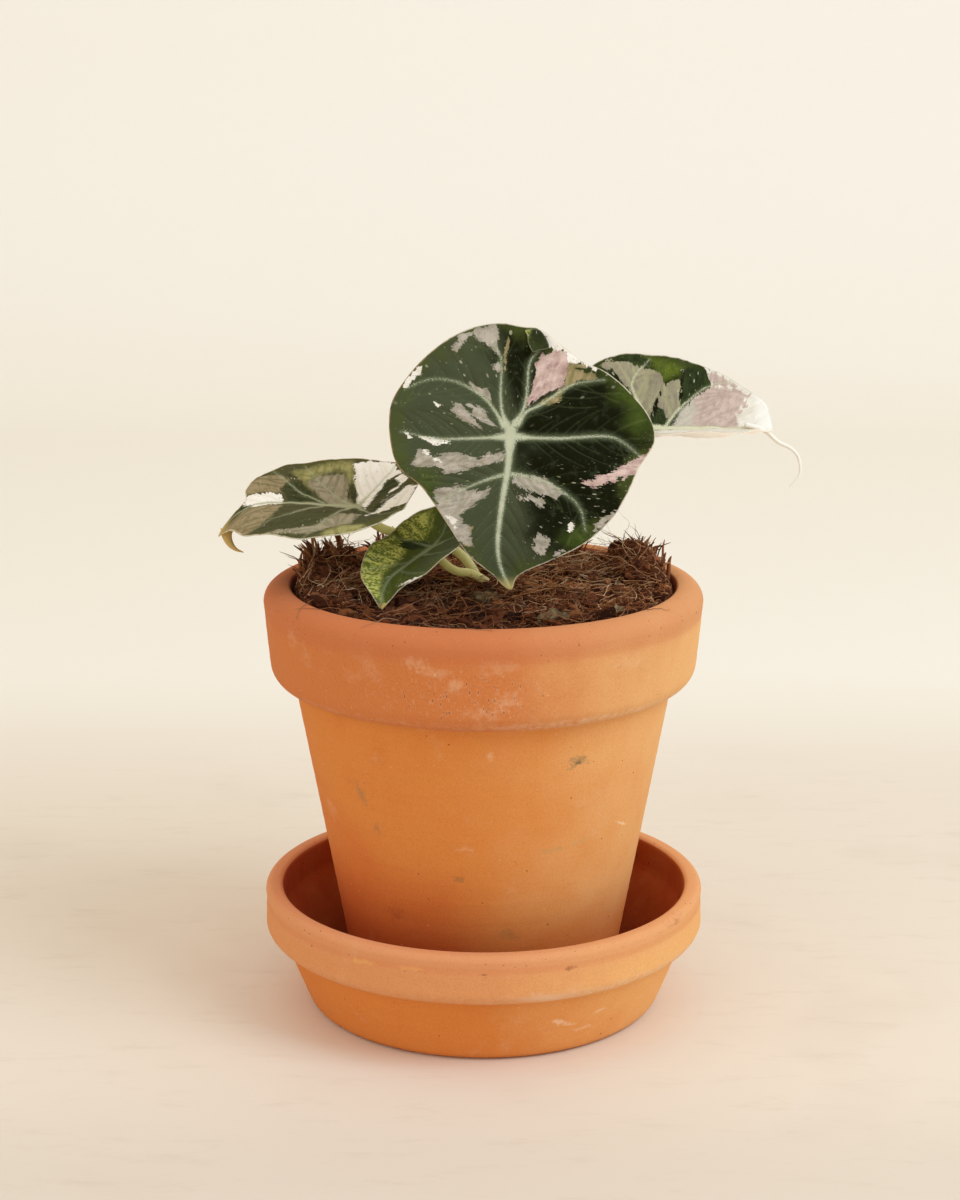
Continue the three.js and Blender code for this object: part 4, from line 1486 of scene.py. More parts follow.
LEFT_PATCHES: dict[Tint, list[Flat]] = {
    Tint.LIME: [
        [(23.5, 22.5), (27, 11.5), (26.5, 3.5), (23.5, 2), (1, 1), (7, 3.5), (20, 5), (21.5, 8), (20, 14),
         (15.5, 17), (10.5, 14), (12.5, 16.5)],
        [(20, 36), (12.5, 32), (11, 33), (12, 35.5), (15, 37), (19, 37.5)],
        [(-21.5, -2.5), (-26.5, -3.5), (-34.5, 2), (-36, 6), (-35, 9), (-29, 10), (-24.5, 6.5), (-23, 3.5)],
    ],
    Tint.TAN: [
        [(23, 34.5), (24, 30.5), (21.5, 24), (18.5, 23), (12, 25.5), (9, 24.5), (12, 35.5), (11, 37),
         (19.5, 36.5)],
        [(1.5, 26.5), (0, 24), (-10, 27.5), (-18.5, 33), (-18.5, 35.5), (-7, 43), (1, 37), (3, 34.5)],
    ],
    Tint.GREY: [
        [(20, 14), (19, 5.5), (16.5, 4), (-1.5, 1.5), (-1, 7), (6.5, 12.5), (15.5, 17)],
        # This patch on the near half is partly the leaf's own grey and partly painted sheen of the velvet.
        [(-9.5, -2), (-12.5, 0), (-19.5, 1), (-24.5, 8.5), (-27, 14), (-27, 23), (-24.5, 28.5), (-23, 18),
         (-18, 11.5), (-6.5, 6)],
    ],
    Tint.CREAM: [
        [(26.5, -0.5), (25.5, -10), (17, -13.5), (14.5, -9), (6, -6.5), (-1, -2.5), (2, 0.5), (20, 2),
         (24.5, 2)],
        [(6, -19), (-2, -17), (-4, -14.5), (-3.5, -11.5), (-10.5, -3), (1, -7.5), (7, -16)],
        [(15.5, -13.5), (11.5, -16), (4.5, -9), (8, -10), (9.5, -12.5), (15, -10.5)],
        [(8.5, 37), (11, 35.5), (9.5, 28), (8, 25), (4, 23.5), (2.5, 25.5), (1.5, 32.5), (4.5, 36.5)],
    ],
    Tint.DARK: [
        [(18, 24), (18, 20), (2.5, 11), (4, 16), (3, 21.5), (12, 25)],
        [(23, 25), (23, 23), (19, 20)],
        [(14.5, 2.5), (8.5, 0.5), (1, 1), (7, 3.5)],
        [(14.5, -11.5), (11.5, -13), (9, -12.5), (8, -10), (4.5, -8.5), (2, -4), (15, -9)],
        [(4.5, 38), (4, 34.5), (2, 34.5), (2, 37.5)],
        [(5, -13), (-6.5, -4.5), (-4.5, -4), (0, -6.5)],
    ],
}

RIGHT_FORM = BladeForm(
    junction=(52.9, 17, 186.8), towards_tip=(1, 0, 0), facing=(0, -0.276, 0.961),
    fold=0.44, fold_at_tip=0.44,
    outline=[
        (0, 40.1), (-5.5, 39.6), (-10.2, 38.6), (-14.7, 34.4), (-21.3, 27.4), (-25.9, 17.3), (-29, 9.1),
        (-30.7, 0), (-29.5, -9.1), (-24.9, -17.3), (-15.2, -21.3), (-6.1, -19.8), (0, -16.3), (6.1, -19.3),
        (14.2, -19.8), (22.4, -14.7), (26.4, -5.1), (26.9, 6.1), (24.9, 17.3), (20.3, 27.4), (12.2, 35.6),
        (5.1, 39.1),
    ],
    veins=[
        [(0, 0), (0, 40.1)],
        [(0, 0), (-10.2, -2), (-18.2, -4.3), (-23.5, -2.4), (-29, 2)],
        [(0, 5.1), (-6.9, 9.1), (-12.2, 13.7), (-18.6, 21.9), (-19.8, 29.5)],
        [(0, 0), (-5.1, -7.1), (-9.1, -17.3)],
        [(0, 0), (10.2, -2), (18.3, -4.1), (25.4, 2)],
        [(0, 5.1), (6.9, 9.1), (12.2, 13.7), (18.3, 23.4)],
        [(0, 0), (5.1, -7.1), (9.1, -17.3)],
    ])

RIGHT_PATCHES: dict[Tint, list[Flat]] = {
    Tint.LIME: [[(-29.5, 1), (-29.5, 4.5), (-24.5, 13.5), (-21.5, 11.5), (-18.5, 6)]],
    Tint.GREY: [
        [(-28, -12), (-27, -2.5), (-24.5, 3.5), (-18.5, 6), (-5, 1), (-19, -7), (-23.5, -11), (-24.5, -15.5)],
        [(-20, 11.5), (-9.5, 11), (-1, 5.5), (-7.5, 5.5), (-9, 3.5), (-18, 5.5)],
        [(0, 6.5), (-6, 11.5), (-7, 15), (0.5, 12.5)],
        [(-17, -6), (-4, 0), (0, -4), (-4, -20), (-14, -21), (-24, -16)],
    ],
    Tint.CREAM: [
        [(3, 8), (3, 44), (-14, 38), (-24, 28), (-26, 20), (-20, 21), (-12, 14), (-3, 9)],
        [(3, -24), (3, 44), (20, 36), (32, 20), (32, -10), (20, -24)],
        [(-24, 14.5), (-21.5, 12.5), (-23.5, 12)],
        [(-19.5, 15.5), (-20, 17), (-17.5, 18), (-17.5, 16.5)],
    ],
    Tint.PINK: [
        [(0.5, 8), (-9, 12), (-18.5, 20), (-17.5, 26.5), (-13.5, 34.5), (-11, 32), (-9.5, 32.5), (-8.5, 30.5),
         (-6.5, 31), (-5.5, 29), (-1, 29), (1, 31)],
        [(-22.5, 20.5), (-23.5, 22), (-22, 25), (-17.5, 29.5), (-18.5, 22.5)],
    ],
    Tint.TAN: [
        [(0.5, 8), (-8, 11), (-13, 15), (-7, 16.5), (-4, 14.5), (0.5, 15)],
    ],
    Tint.DARK: [
        [(-26.5, -12), (-30, -5.5), (-29.5, 1), (-26.5, 4.5), (-27.5, -2.5)],
        [(-23.5, 20), (-18, 21.5), (-9, 11), (-15.5, 12.5), (-23, 12), (-24.5, 14.5)],
        [(-8.5, 3.5), (-7.5, 5.5), (-4, 6.5), (0, 5), (-0.5, 1.5)],
    ],
}

SMALL_FORM = BladeForm(
    junction=(-16.1, -5, 152.5), towards_tip=(-15.5, -25, -14), facing=(-0.3, -0.3, 1),
    fold=0.4, fold_at_tip=0.4, bow=4.5, tip_drop=(0, 33, 3),
    outline=[
        (0, 33.4), (-0.2, 32), (-1.1, 28.8), (-5.9, 23.5), (-12.1, 19.7), (-17.2, 14.2), (-17.7, 7.1),
        (-15.7, -3), (-12.1, -12.1), (-6.1, -18.2), (0, -16.7), (5.6, -19.7), (10.6, -14.7), (13.3, -6.4),
        (14.8, 0.5), (17.5, 7.6), (16.8, 15.7), (13.7, 21.7), (7, 27.4), (1.6, 31.9),
    ],
    veins=[
        [(0, 0), (3.1, 6.2), (5.5, 14.9), (6.1, 18.8), (4.9, 23.9), (0, 33.4)],
        [(0, 0), (0.3, -6), (3.5, -15.2)],
        [(0, 0), (7.9, 0.2), (13.7, 2)],
        [(3.7, 8.3), (11, 14.4), (14.7, 18.2)],
        [(0, 0), (-6.1, -5.1), (-9.1, -12.1)],
        [(2, 4), (-6.1, 6.6), (-15.2, 9.1)],
        [(5.1, 13.1), (-3, 16.7), (-10.1, 19.7)],
    ])

SMALL_PATCHES: dict[Tint, list[Flat]] = {
    Tint.LIME: [
        [(9, -16), (5, -9), (4.5, -2), (10, 1), (14, -2), (13, -8)],
        [(14, 0.5), (7, 3), (7.5, 9), (9, 17), (6, 24), (2, 29), (9.5, 27), (15, 22), (18.5, 13), (17, 6)],
    ],
    Tint.CREAM: [[(-0.5, 22.5), (-4, 21), (-11.5, 21), (-13, 22.5), (-4, 23.5)]],
    Tint.DARK: [[(10, 2.5), (8, 0), (4, -1.5), (1, 0), (6.5, 4), (8.5, 4.5)]],
}


def drip(path: Sequence[Sequence[float]], start: float, end: float, flatness: float) -> Skin:
    """A tapering drip tip along a path.

    Args:
        path: Its corners.
        start: Half its width where it leaves the blade.
        end: Half its width at the end.
        flatness: Its thickness as a share of its width.

    Returns:
        Its skin.
    """
    line = smooth_line(path, 8)
    share = np.linspace(0, 1, len(line))
    return tube(line, start + (end - start) * share, 12, flatness)


def leaves() -> list[Leaf]:
    """The four leaves.

    Returns:
        The leaves, and the front one's small lobe.
    """
    hook = drip([(-81.7, 1.4, 156.2), (-81.7, 0.9, 153.9), (-80.7, 0.4, 151.5), (-79, 0, 149.8),
                 (-76.4, -0.4, 148.8)], 2.1, 0.12, 0.85)
    tail = drip([(84, 17, 187.2), (90.4, 16.8, 185.2), (95.1, 16.5, 181.4), (98.8, 16.3, 179.6),
                 (101.2, 16.2, 177.2), (102.2, 16, 173.6), (101.8, 16, 170.6), (100.2, 16, 168.4),
                 (99, 16, 166.8)], 0.66, 0.2, 1.2)
    point = drip([(-30.4, -28.2, 138.7), (-31.4, -29.9, 137.7), (-32.2, -31.3, 136.4)], 0.9, 0.15, 0.5)
    flap = BladeForm(
        junction=(16.5, -9.4, 217.5), towards_tip=FRONT_FORM.towards_tip, facing=FRONT_FORM.facing,
        lobe_drop=(1.3, 3.6), tip_drop=(-0.5, 3.7, 2), thickness=0.45, veins=[],
        outline=[(1.2, 3.7), (-0.5, 3.1), (-2.1, 2.8), (-3.6, 2.2), (-2.2, -1.7), (-0.2, -3.7), (3.7, -3.4),
                 (3.1, -1.7), (2.9, 0.6), (2, 2.8)])
    return [
        Leaf("front_leaf", FRONT_FORM, FRONT_PATCHES, LeafFinish("leaf_front", tuple(FRONT_PATCHES), heart=1),
             ("front_blade",), midrib_width=(1.15, 0.25), seed=3),
        Leaf("front_leaf_lobe", flap, {Tint.LIME: [[(2.4, -4), (3, -1.6), (4, -1), (4, -4)]]},
             LeafFinish("leaf_lobe", (Tint.LIME,), speckled=1, tip_from=20, tip_to=25, rimmed=0.15,
                        soft=srgb(44, 50, 26), green=srgb(54, 60, 34), bright=srgb(60, 68, 36),
                        shades=SMALL_SHADES), seed=5, rings=14, per_span=8),
        Leaf("left_leaf", LEFT_FORM, LEFT_PATCHES,
             LeafFinish("leaf_left", tuple(LEFT_PATCHES), green=srgb(92, 84, 56), deep=srgb(72, 70, 42),
                        soft=srgb(80, 76, 48), bright=srgb(84, 82, 32), vein=srgb(172, 168, 132),
                        tip=srgb(200, 170, 104), tip_from=39, tip_to=44, shades=LEFT_SHADES), ("left_blade",),
             seed=11, rings=54, midrib_width=(1.0, 0.1), vein_width=(0.36, 0.02), drips=[hook]),
        # The right leaf's underside is near-white, partly its own pale colour and partly painted light, and
        # it glows as painted light shining through it.
        Leaf("right_leaf", RIGHT_FORM, RIGHT_PATCHES,
             LeafFinish("leaf_right", tuple(RIGHT_PATCHES), tip=srgb(246, 240, 228), tip_from=33, tip_to=38,
                        vein=srgb(222, 216, 180), back=srgb(255, 250, 238), glow=0.22, veiled=0.85,
                        shades=RIGHT_SHADES),
             ("right_blade",), seed=17, rings=54, drips=[tail]),
        Leaf("small_leaf", SMALL_FORM, SMALL_PATCHES,
             LeafFinish("leaf_small", tuple(SMALL_PATCHES), tip=srgb(180, 156, 96), tip_from=29, tip_to=33,
                        green=srgb(70, 77, 44), deep=srgb(74, 80, 50), soft=srgb(82, 90, 34),
                        bright=srgb(84, 92, 34), vein=srgb(138, 144, 104), mottled=(0.47, 0.54), grain=3.6,
                        shades=SMALL_SHADES), ("small_blade",), seed=23, rings=40,
             midrib_width=(0.6, 0.15), vein_width=(0.15, 0.01), drips=[point]),
    ]


# Petioles


@dataclass(frozen=True)
class StalkFinish:
    """Smooth pale green skin, yellower towards the soil, with a faint painted glow standing in for light
    shining through it.
    """

    name: str = "petiole_skin"
    foot: Colour = srgb(242, 236, 190)
    upper: Colour = srgb(238, 232, 156)
    stripe: Colour = srgb(228, 226, 142)
    spot: Colour = srgb(160, 120, 84)
    # glow is painted light: the stalk emits its own colour scaled down by this one.
    glow: Colour = srgb(78, 76, 52)

    def build(self) -> bpy.types.Material:
        """Makes the material.

        Returns:
            The material.
        """
        s = Surface(self.name)
        along = s.attribute("along")
        place = s.place()
        streaks = s.noise(s.join(along * 4, s.attribute("around"), 0.0), 2.4, 3, 0.6)
        colour = s.mix(s.step(along, 0.05, 0.5), self.foot, self.upper)
        colour = s.mix(s.step(streaks, 0.45, 0.7) * 0.3, colour, self.stripe)
        colour = s.mix(s.step(s.noise(place, 0.9, 2), 0.62, 0.74) * 0.2, colour, self.spot)
        # Painted light: the stalk emits a dim copy of its colour, standing in for light shining through it.
        painted_glow = s.multiply(1.0, colour, self.glow)
        return s.finish(base_color=colour, roughness=0.42 + streaks * 0.1, normal=s.bump(streaks, 0.08),
                        specular_ior_level=0.5, emission_color=painted_glow, emission_strength=1.0)


@dataclass
class Petiole:
    """A leaf's stalk, from the corm up to the blade's junction."""

    key: str
    start: Pair
    by: list[Triple]
    radius: float
    form: BladeForm
    foot: float = 130.3
    base_radius: float = 2.2
    base_share: float = 0.35
    flare: float = 0.25
    flare_from: float = 0.93
    under_blade: float = 0.9
    sides: int = 24

    def build(self, material: bpy.types.Material) -> None:
        """Makes the stalk with the given finish.

        Args:
            material: Its finish.
        """
        junction = np.zeros((1, 2))
        top = self.form.height(junction)
        arriving = self.form.place(junction, top)[0] - np.array(self.by[-1])
        arriving /= np.linalg.norm(arriving)
        slant = math.sqrt(1 - float(arriving @ self.form.axes()[2]) ** 2)
        end = self.form.place(junction, top - self.under_blade - self.radius * slant)[0]
        line = smooth_line([(*self.start, self.foot), *self.by, tuple(end)], 16)
        share = np.linspace(0, 1, len(line))
        to_base = np.maximum(0, 1 - share / self.base_share) ** 1.5
        widths = self.radius + (self.base_radius - self.radius) * to_base
        widths += self.flare * np.maximum(0, (share - self.flare_from) / (1 - self.flare_from))
        skin = tube(line, widths, self.sides)
        along = np.concatenate([[0], np.repeat(share, self.sides), [1]])
        around = np.concatenate([[0], np.tile(np.abs(np.linspace(-6, 6, self.sides)), len(line)), [0]])
        piece = make_piece(f"{self.key}_stalk", skin.points(), skin.faces(), material,
                           {"along": along, "around": around})
        dress(piece, "petiole", f"{self.key}_petiole")


def petioles() -> list[Petiole]:
    """The four stalks.

    Returns:
        The stalks.
    """
    return [
        Petiole("front", (6.5, 12), [(7, 12.5, 140), (8.5, 14, 156), (9.5, 10, 174), (8.6, -4, 187)], 1.6,
                FRONT_FORM),
        Petiole("left", (-2, 11.5), [(-2.8, 11.5, 139), (-9.5, 11.5, 147.3), (-20.2, 11, 151.1),
                                     (-31.8, 7, 154.8)], 1.5, LEFT_FORM),
        Petiole("right", (10, 16), [(11, 17, 140), (18, 20, 156), (33, 21, 171), (46, 19, 180.5)], 1.5,
                RIGHT_FORM),
        Petiole("small", (3, 6.5), [(2.2, 6.2, 136), (-3.5, 3.5, 140.9), (-9.1, -0.5, 142.9),
                                    (-13.1, -3.5, 146.7)], 1.35, SMALL_FORM),
    ]


# Soil


@dataclass(frozen=True)
class EarthFinish:
    """Rough broken matter, shaded by each bit's own number where it has one."""

    name: str
    stops: tuple[tuple[float, Colour], ...]
    grain: float
    roughness: float = 0.95
    by_bit: bool = True
    shaded: float = 0.8
    front_shade: Colour = srgb(150, 124, 110)

    def build(self) -> bpy.types.Material:
        """Makes the material.

        Returns:
            The material.
        """
        s = Surface(self.name)
        place = s.place()
        _, y, _ = s.split(place)
        grain = s.noise(place, self.grain, 4, 0.7)
        drift = s.noise(place, 0.06, 2)
        shade = s.attribute("shade") if self.by_bit else s.noise(place, 0.35, 4, 0.7)
        shade = shade + (grain - 0.5) * 0.35 + (drift - 0.5) * 0.7
        colour = s.node("ShaderNodeValToRGB", {"stops": self.stops}, {0: shade})
        in_front = s.step(y + (drift - 0.5) * 60, -4, -42)
        colour = s.multiply(in_front * self.shaded, colour, self.front_shade)
        return s.finish(base_color=colour, roughness=self.roughness, normal=s.bump(grain, 0.3),
                        specular_ior_level=0.08)


COIR_STOPS = ((0.0, srgb(88, 50, 29)), (0.45, srgb(164, 100, 60)), (0.78, srgb(210, 146, 94)),
              (1.0, srgb(238, 194, 146)))
THREAD_STOPS = ((0.0, srgb(160, 106, 68)), (0.6, srgb(204, 156, 112)), (1.0, srgb(234, 204, 166)))
CRUMB_STOPS = ((0.0, srgb(46, 26, 17)), (0.6, srgb(104, 60, 38)), (1.0, srgb(156, 98, 64)))
BARK_STOPS = ((0.0, srgb(58, 33, 21)), (0.5, srgb(98, 56, 36)), (0.85, srgb(136, 82, 52)),
              (1.0, srgb(166, 112, 70)))
STONE_STOPS = ((0.25, srgb(54, 42, 28)), (0.5, srgb(112, 94, 66)), (0.75, srgb(172, 150, 110)))
PERLITE_STOPS = ((0.0, srgb(200, 190, 174)), (1.0, srgb(240, 236, 228)))
TUFT_STOPS = ((0.0, srgb(80, 45, 28)), (0.5, srgb(134, 82, 52)), (1.0, srgb(184, 128, 84)))
# How far from the axis loose matter may lie, and the heights between which it draws in as it rises.
LUMP_LIMIT = 60.3
DRAWS_IN = (136.5, 148)
DRAWN_IN_BY = 6
# The left leaf's tip hangs over the soil here: nothing stands up near it.
TIP_OVER_SOIL = (-28.5, -26.5)
CLEAR_ROUND_TIP = (9, 17)
CLEAR_HEIGHT = 136.4
CLEAR_SLOPE = 30


class Tree(Bench):
    """A geometry-node tree with named inputs, which ends in a real mesh with a material."""

    def __init__(self, name: str, sizes: Sequence[str], count: str) -> None:
        """Makes the tree with the inputs that every kind of loose matter has, and its own.

        Args:
            name: The tree's name.
            sizes: Its own inputs that are numbers.
            count: Its own input that is a whole number.
        """
        group = bpy.data.node_groups.new(name, "GeometryNodeTree")
        kinds = {"Geometry": "Geometry", **dict.fromkeys(("Density", "Patchy", "Lift", *sizes), "Float"),
                 **dict.fromkeys((count, "Seed"), "Int"), "Finish": "Material"}
        for key, kind in kinds.items():
            group.interface.new_socket(key, in_out="INPUT", socket_type=f"NodeSocket{kind}")
        group.interface.new_socket("Geometry", in_out="OUTPUT", socket_type="NodeSocketGeometry")
        super().__init__(group)
        self.given = group.nodes.new("NodeGroupInput")

    def value(self, name: str) -> Sock:
        """One of the tree's inputs."""
        return Sock(self, self.given.outputs[name])

    def chance(self, low: Any, high: Any, salt: int, kind: str = "FLOAT") -> Sock:
        """A random value of each point, fixed by the tree's seed and a number of its own.

        Args:
            low: The least.
            high: The most.
            salt: Its own number.
            kind: FLOAT or FLOAT_VECTOR.

        Returns:
            The value.
        """
        first = {"FLOAT": 2, "FLOAT_VECTOR": 0}[kind]
        return self.node("FunctionNodeRandomValue", {"data_type": kind},
                         {first: low, first + 1: high, "Seed": self.value("Seed") * 7 + salt},
                         {"FLOAT": 1, "FLOAT_VECTOR": 0}[kind])

    def size(self, name: str) -> Sock:
        """One of the tree's inputs that is a length, in metres."""
        return self.value(name) * MM

    def end(self, geometry: Sock) -> bpy.types.GeometryNodeTree:
        """Gives the mesh the material and sends it out.

        Args:
            geometry: The mesh.

        Returns:
            The tree.
        """
        finish = {"Geometry": geometry, "Material": self.value("Finish")}
        done = self.node("GeometryNodeSetMaterial", inputs=finish)
        out = self.tree.nodes.new("NodeGroupOutput")
        self.feed(out.inputs[0], done)
        return self.tree

    def scatter(self, instance: Sock, rotation: Sock, scale: Sock) -> Sock:
        """Puts copies on random points of the input surface, each with a number called shade.

        Args:
            instance: What is copied.
            rotation: Euler angles.
            scale: The size.

        Returns:
            The copies as one mesh.
        """
        place = self.spread(self.node("GeometryNodeInputPosition"), 1 / MM)
        bare = self.step(self.noise(place, 0.1, 2), 0.46, 0.58)
        density = self.value("Density") * (1 - self.value("Patchy") * bare)
        points = self.node("GeometryNodeDistributePointsOnFaces", inputs={
            "Mesh": self.value("Geometry"), "Density": density, "Seed": self.value("Seed")})
        turned = self.node("FunctionNodeEulerToRotation", inputs={0: rotation})
        copies = self.node("GeometryNodeInstanceOnPoints", inputs={
            "Points": points, "Instance": instance, "Rotation": turned, "Scale": scale})
        shaded = self.node("GeometryNodeStoreNamedAttribute", {"data_type": "FLOAT", "domain": "INSTANCE"},
                           {"Geometry": copies, "Name": "shade", "Value": self.chance(0.0, 1.0, 3)})
        return self.node("GeometryNodeRealizeInstances", inputs={"Geometry": shaded})

    def own_noise(self, scale: Any) -> Sock:
        """Noise of three channels about zero that differs from one bit to the next.

        Args:
            scale: How fine it is.

        Returns:
            A vector.
        """
        place = self.spread(self.node("GeometryNodeInputPosition"), 1 / MM)
        shade = self.node("GeometryNodeInputNamedAttribute", {"data_type": "FLOAT"}, {"Name": "shade"})
        moved = self.vector("ADD", place, self.join(shade * 900, shade * 470, 0.0))
        grain = {"Vector": moved, "Scale": scale, "Detail": 1.5}
        noise = self.node("ShaderNodeTexNoise", inputs=grain, out="Color")
        return self.vector("SUBTRACT", noise, (0.5, 0.5, 0.5))


def strand_tree() -> bpy.types.GeometryNodeTree:
    """Curled strands lying on a surface, kept inside a radius. Sizes are millimetres.

    Returns:
        The tree.
    """
    t = Tree("strands", ("Length", "Thickness", "Curl", "Wave", "Tilt", "Reach"), "Steps")
    offset = t.join(t.size("Length") / t.value("Steps"), 0.0, 0.0)
    line = t.node("GeometryNodeMeshLine", inputs={"Count": t.value("Steps"), "Offset": offset})
    rotation = t.chance((0.0, -1.0, 0.0), (0.0, 1.0, 6.283), 1, "FLOAT_VECTOR")
    rotation = t.vector("MULTIPLY", rotation, t.join(0.0, t.value("Tilt"), 1.0))
    strands = t.scatter(line, rotation, t.chance(0.5, 1.4, 2))
    curl = t.join(t.size("Curl"), t.size("Curl"), t.value("Curl") * 0.45 * MM)
    push = t.vector("MULTIPLY", t.own_noise(t.value("Wave")), curl)
    push = t.vector("ADD", push, t.join(0.0, 0.0, t.size("Lift")))
    x, y, z = t.split(t.node("GeometryNodeInputPosition"))
    tip_x, tip_y = (value * MM for value in TIP_OVER_SOIL)
    near, far = (value * MM for value in CLEAR_ROUND_TIP)
    clear = t.step(((x - tip_x) ** 2 + (y - tip_y) ** 2) ** 0.5, near, far)
    push = t.vector("MULTIPLY", push, t.join(1.0, 1.0, clear))
    bent = t.node("GeometryNodeSetPosition", inputs={"Geometry": strands, "Offset": push})
    reach = t.value("Reach") - t.step(z, *(height * MM for height in DRAWS_IN)) * DRAWN_IN_BY
    shrink = (reach * MM / (x * x + y * y + 1e-9) ** 0.5).least(1.0)
    kept = t.join(x * shrink, y * shrink, z.least((clear * CLEAR_SLOPE + CLEAR_HEIGHT) * MM))
    held = t.node("GeometryNodeSetPosition", inputs={"Geometry": bent, "Position": kept})
    curves = t.node("GeometryNodeMeshToCurve", inputs={"Mesh": held})
    along = t.node("GeometryNodeSplineParameter")
    width = t.size("Thickness") * (1.15 - along) * t.chance(0.6, 1.2, 5)
    profile = t.node("GeometryNodeCurvePrimitiveCircle", inputs={"Resolution": 3, "Radius": 1.0})
    round_it = {"Curve": curves, "Profile Curve": profile, "Scale": width, "Fill Caps": True}
    return t.end(t.node("GeometryNodeCurveToMesh", inputs=round_it))


def crumb_tree() -> bpy.types.GeometryNodeTree:
    """Rough lumps or chips lying on a surface. Sizes are millimetres.

    Returns:
        The tree.
    """
    t = Tree("crumbs", ("Size", "Narrow", "Flat", "Rough"), "Detail")
    ball = t.node("GeometryNodeMeshIcoSphere", inputs={"Radius": 1.0, "Subdivisions": t.value("Detail")})
    rotation = t.chance((-0.6, -0.6, 0.0), (0.6, 0.6, 6.283), 1, "FLOAT_VECTOR")
    size = t.size("Size") * t.chance(0.45, 1.3, 2)
    bits = t.scatter(ball, rotation, t.join(size, size * t.value("Narrow"), size * t.value("Flat")))
    rough = t.size("Rough")
    push = t.vector("MULTIPLY", t.own_noise(0.9), t.join(rough, rough, rough))
    push = t.vector("ADD", push, t.join(0.0, 0.0, t.size("Lift")))
    return t.end(t.node("GeometryNodeSetPosition", inputs={"Geometry": bits, "Offset": push}))


@dataclass(frozen=True, kw_only=True)
class Litter:
    """One kind of loose matter. Sizes are millimetres, and density is the bits on a square millimetre."""

    name: str
    finish: EarthFinish
    density: float
    patchy: float
    lift: float
    seed: int
    smooth: bool = True
    in_front: bool = False

    def build(self, ground: bpy.types.Object, tree: bpy.types.GeometryNodeTree) -> None:
        """Spreads the matter over the ground and makes it a plain mesh.

        Args:
            ground: The surface that it lies on.
            tree: The tree that makes it, whose inputs are fed by the fields of the same names.
        """
        seedbed = bpy.data.objects.new(self.name, ground.data.copy())
        bpy.context.scene.collection.objects.link(seedbed)
        modifier = seedbed.modifiers.new("spread", "NODES")
        modifier.node_group = tree
        changed = {"Density": self.density * (1 / MM ** 2), "Finish": self.finish.build()}
        for item in tree.interface.items_tree:
            if item.in_out == "INPUT" and item.name != "Geometry":
                own = changed[item.name] if item.name in changed else getattr(self, item.name.lower())
                modifier[item.identifier] = own
        graph = bpy.context.evaluated_depsgraph_get()
        mesh = bpy.data.meshes.new_from_object(seedbed.evaluated_get(graph), preserve_all_data_layers=True,
                                               depsgraph=graph)
        seedbed.modifiers.clear()
        seedbed.data = mesh
        mesh.name = self.name
        mesh.polygons.foreach_set("use_smooth", [self.smooth] * len(mesh.polygons))
        dress(seedbed, "potting_mix")


@dataclass(frozen=True, kw_only=True)
class Strands(Litter):
    """Curled fibres."""

    length: float
    thickness: float
    curl: float
    wave: float
    tilt: float
    steps: int
    reach: float = LUMP_LIMIT


@dataclass(frozen=True, kw_only=True)
class Crumbs(Litter):
    """Lumps, chips or grains."""

    size: float
    narrow: float
    flat: float
    rough: float
    detail: int = 2


LITTER = (
    Strands(name="coir_mat", finish=EarthFinish("coir", COIR_STOPS, 2.2), density=0.23, patchy=0.85,
            length=14.0, thickness=0.28, curl=11.0, wave=0.13, tilt=0.3, lift=0.8, steps=8, seed=4),
    Strands(name="coir_fluff", finish=EarthFinish("fluff", COIR_STOPS, 2.2), density=0.18, patchy=0.7,
            length=9.0, thickness=0.17, curl=9.0, wave=0.2, tilt=0.75, lift=1.2, steps=8, seed=31),
    Strands(name="coir_threads", finish=EarthFinish("coir_thread", THREAD_STOPS, 1.5), density=0.02,
            patchy=0.4, length=30.0, thickness=0.18, curl=24.0, wave=0.085, tilt=0.3, lift=2.2, steps=20,
            seed=9),
    Crumbs(name="soil_crumbs", finish=EarthFinish("crumbs", CRUMB_STOPS, 1.8), smooth=False, density=0.18,
           patchy=-0.5, size=1.0, narrow=0.8, flat=0.7, rough=1.2, lift=0.2, detail=1, seed=5),
    Crumbs(name="soil_chunks", finish=EarthFinish("chunk", CRUMB_STOPS, 1.5), smooth=False, density=0.012,
           patchy=-2.0, size=3.0, narrow=0.8, flat=0.62, rough=2.4, lift=0.6, seed=21),
    Crumbs(name="bark_chips", finish=EarthFinish("bark", BARK_STOPS, 1.2), smooth=False, density=0.009,
           patchy=-1.5, size=2.7, narrow=0.5, flat=0.32, rough=1.6, lift=0.9, seed=6),
    Crumbs(name="bark_pieces", finish=EarthFinish("bark_piece", BARK_STOPS, 1.2), smooth=False, in_front=True,
           density=0.024, patchy=0.0, size=2.4, narrow=0.6, flat=0.4, rough=2.0, lift=1.2, seed=17),
    Crumbs(name="perlite_grains", finish=EarthFinish("perlite", PERLITE_STOPS, 2.0), density=0.0012,
           patchy=0.0, size=0.42, narrow=0.9, flat=0.8, rough=0.4, lift=0.9, seed=8),
)

CLOD_LITTER = (
    Strands(name="clod_fibres", finish=EarthFinish("clod_fibre", TUFT_STOPS, 2.2), density=0.27, patchy=0.2,
            length=8.0, thickness=0.22, curl=7.0, wave=0.16, tilt=0.9, lift=0.3, steps=7, seed=12),
    Crumbs(name="clod_crumbs", finish=EarthFinish("clod_crumb", CRUMB_STOPS, 1.8), smooth=False, density=0.12,
           patchy=-0.5, size=1.2, narrow=0.8, flat=0.7, rough=1.6, lift=0.1, detail=1, seed=44),
    Strands(name="clod_threads", finish=EarthFinish("clod_thread", THREAD_STOPS, 1.5), density=0.03,
            patchy=0.0, length=20.0, thickness=0.14, curl=16.0, wave=0.11, tilt=0.7, lift=1.0, steps=14,
            seed=13),
)


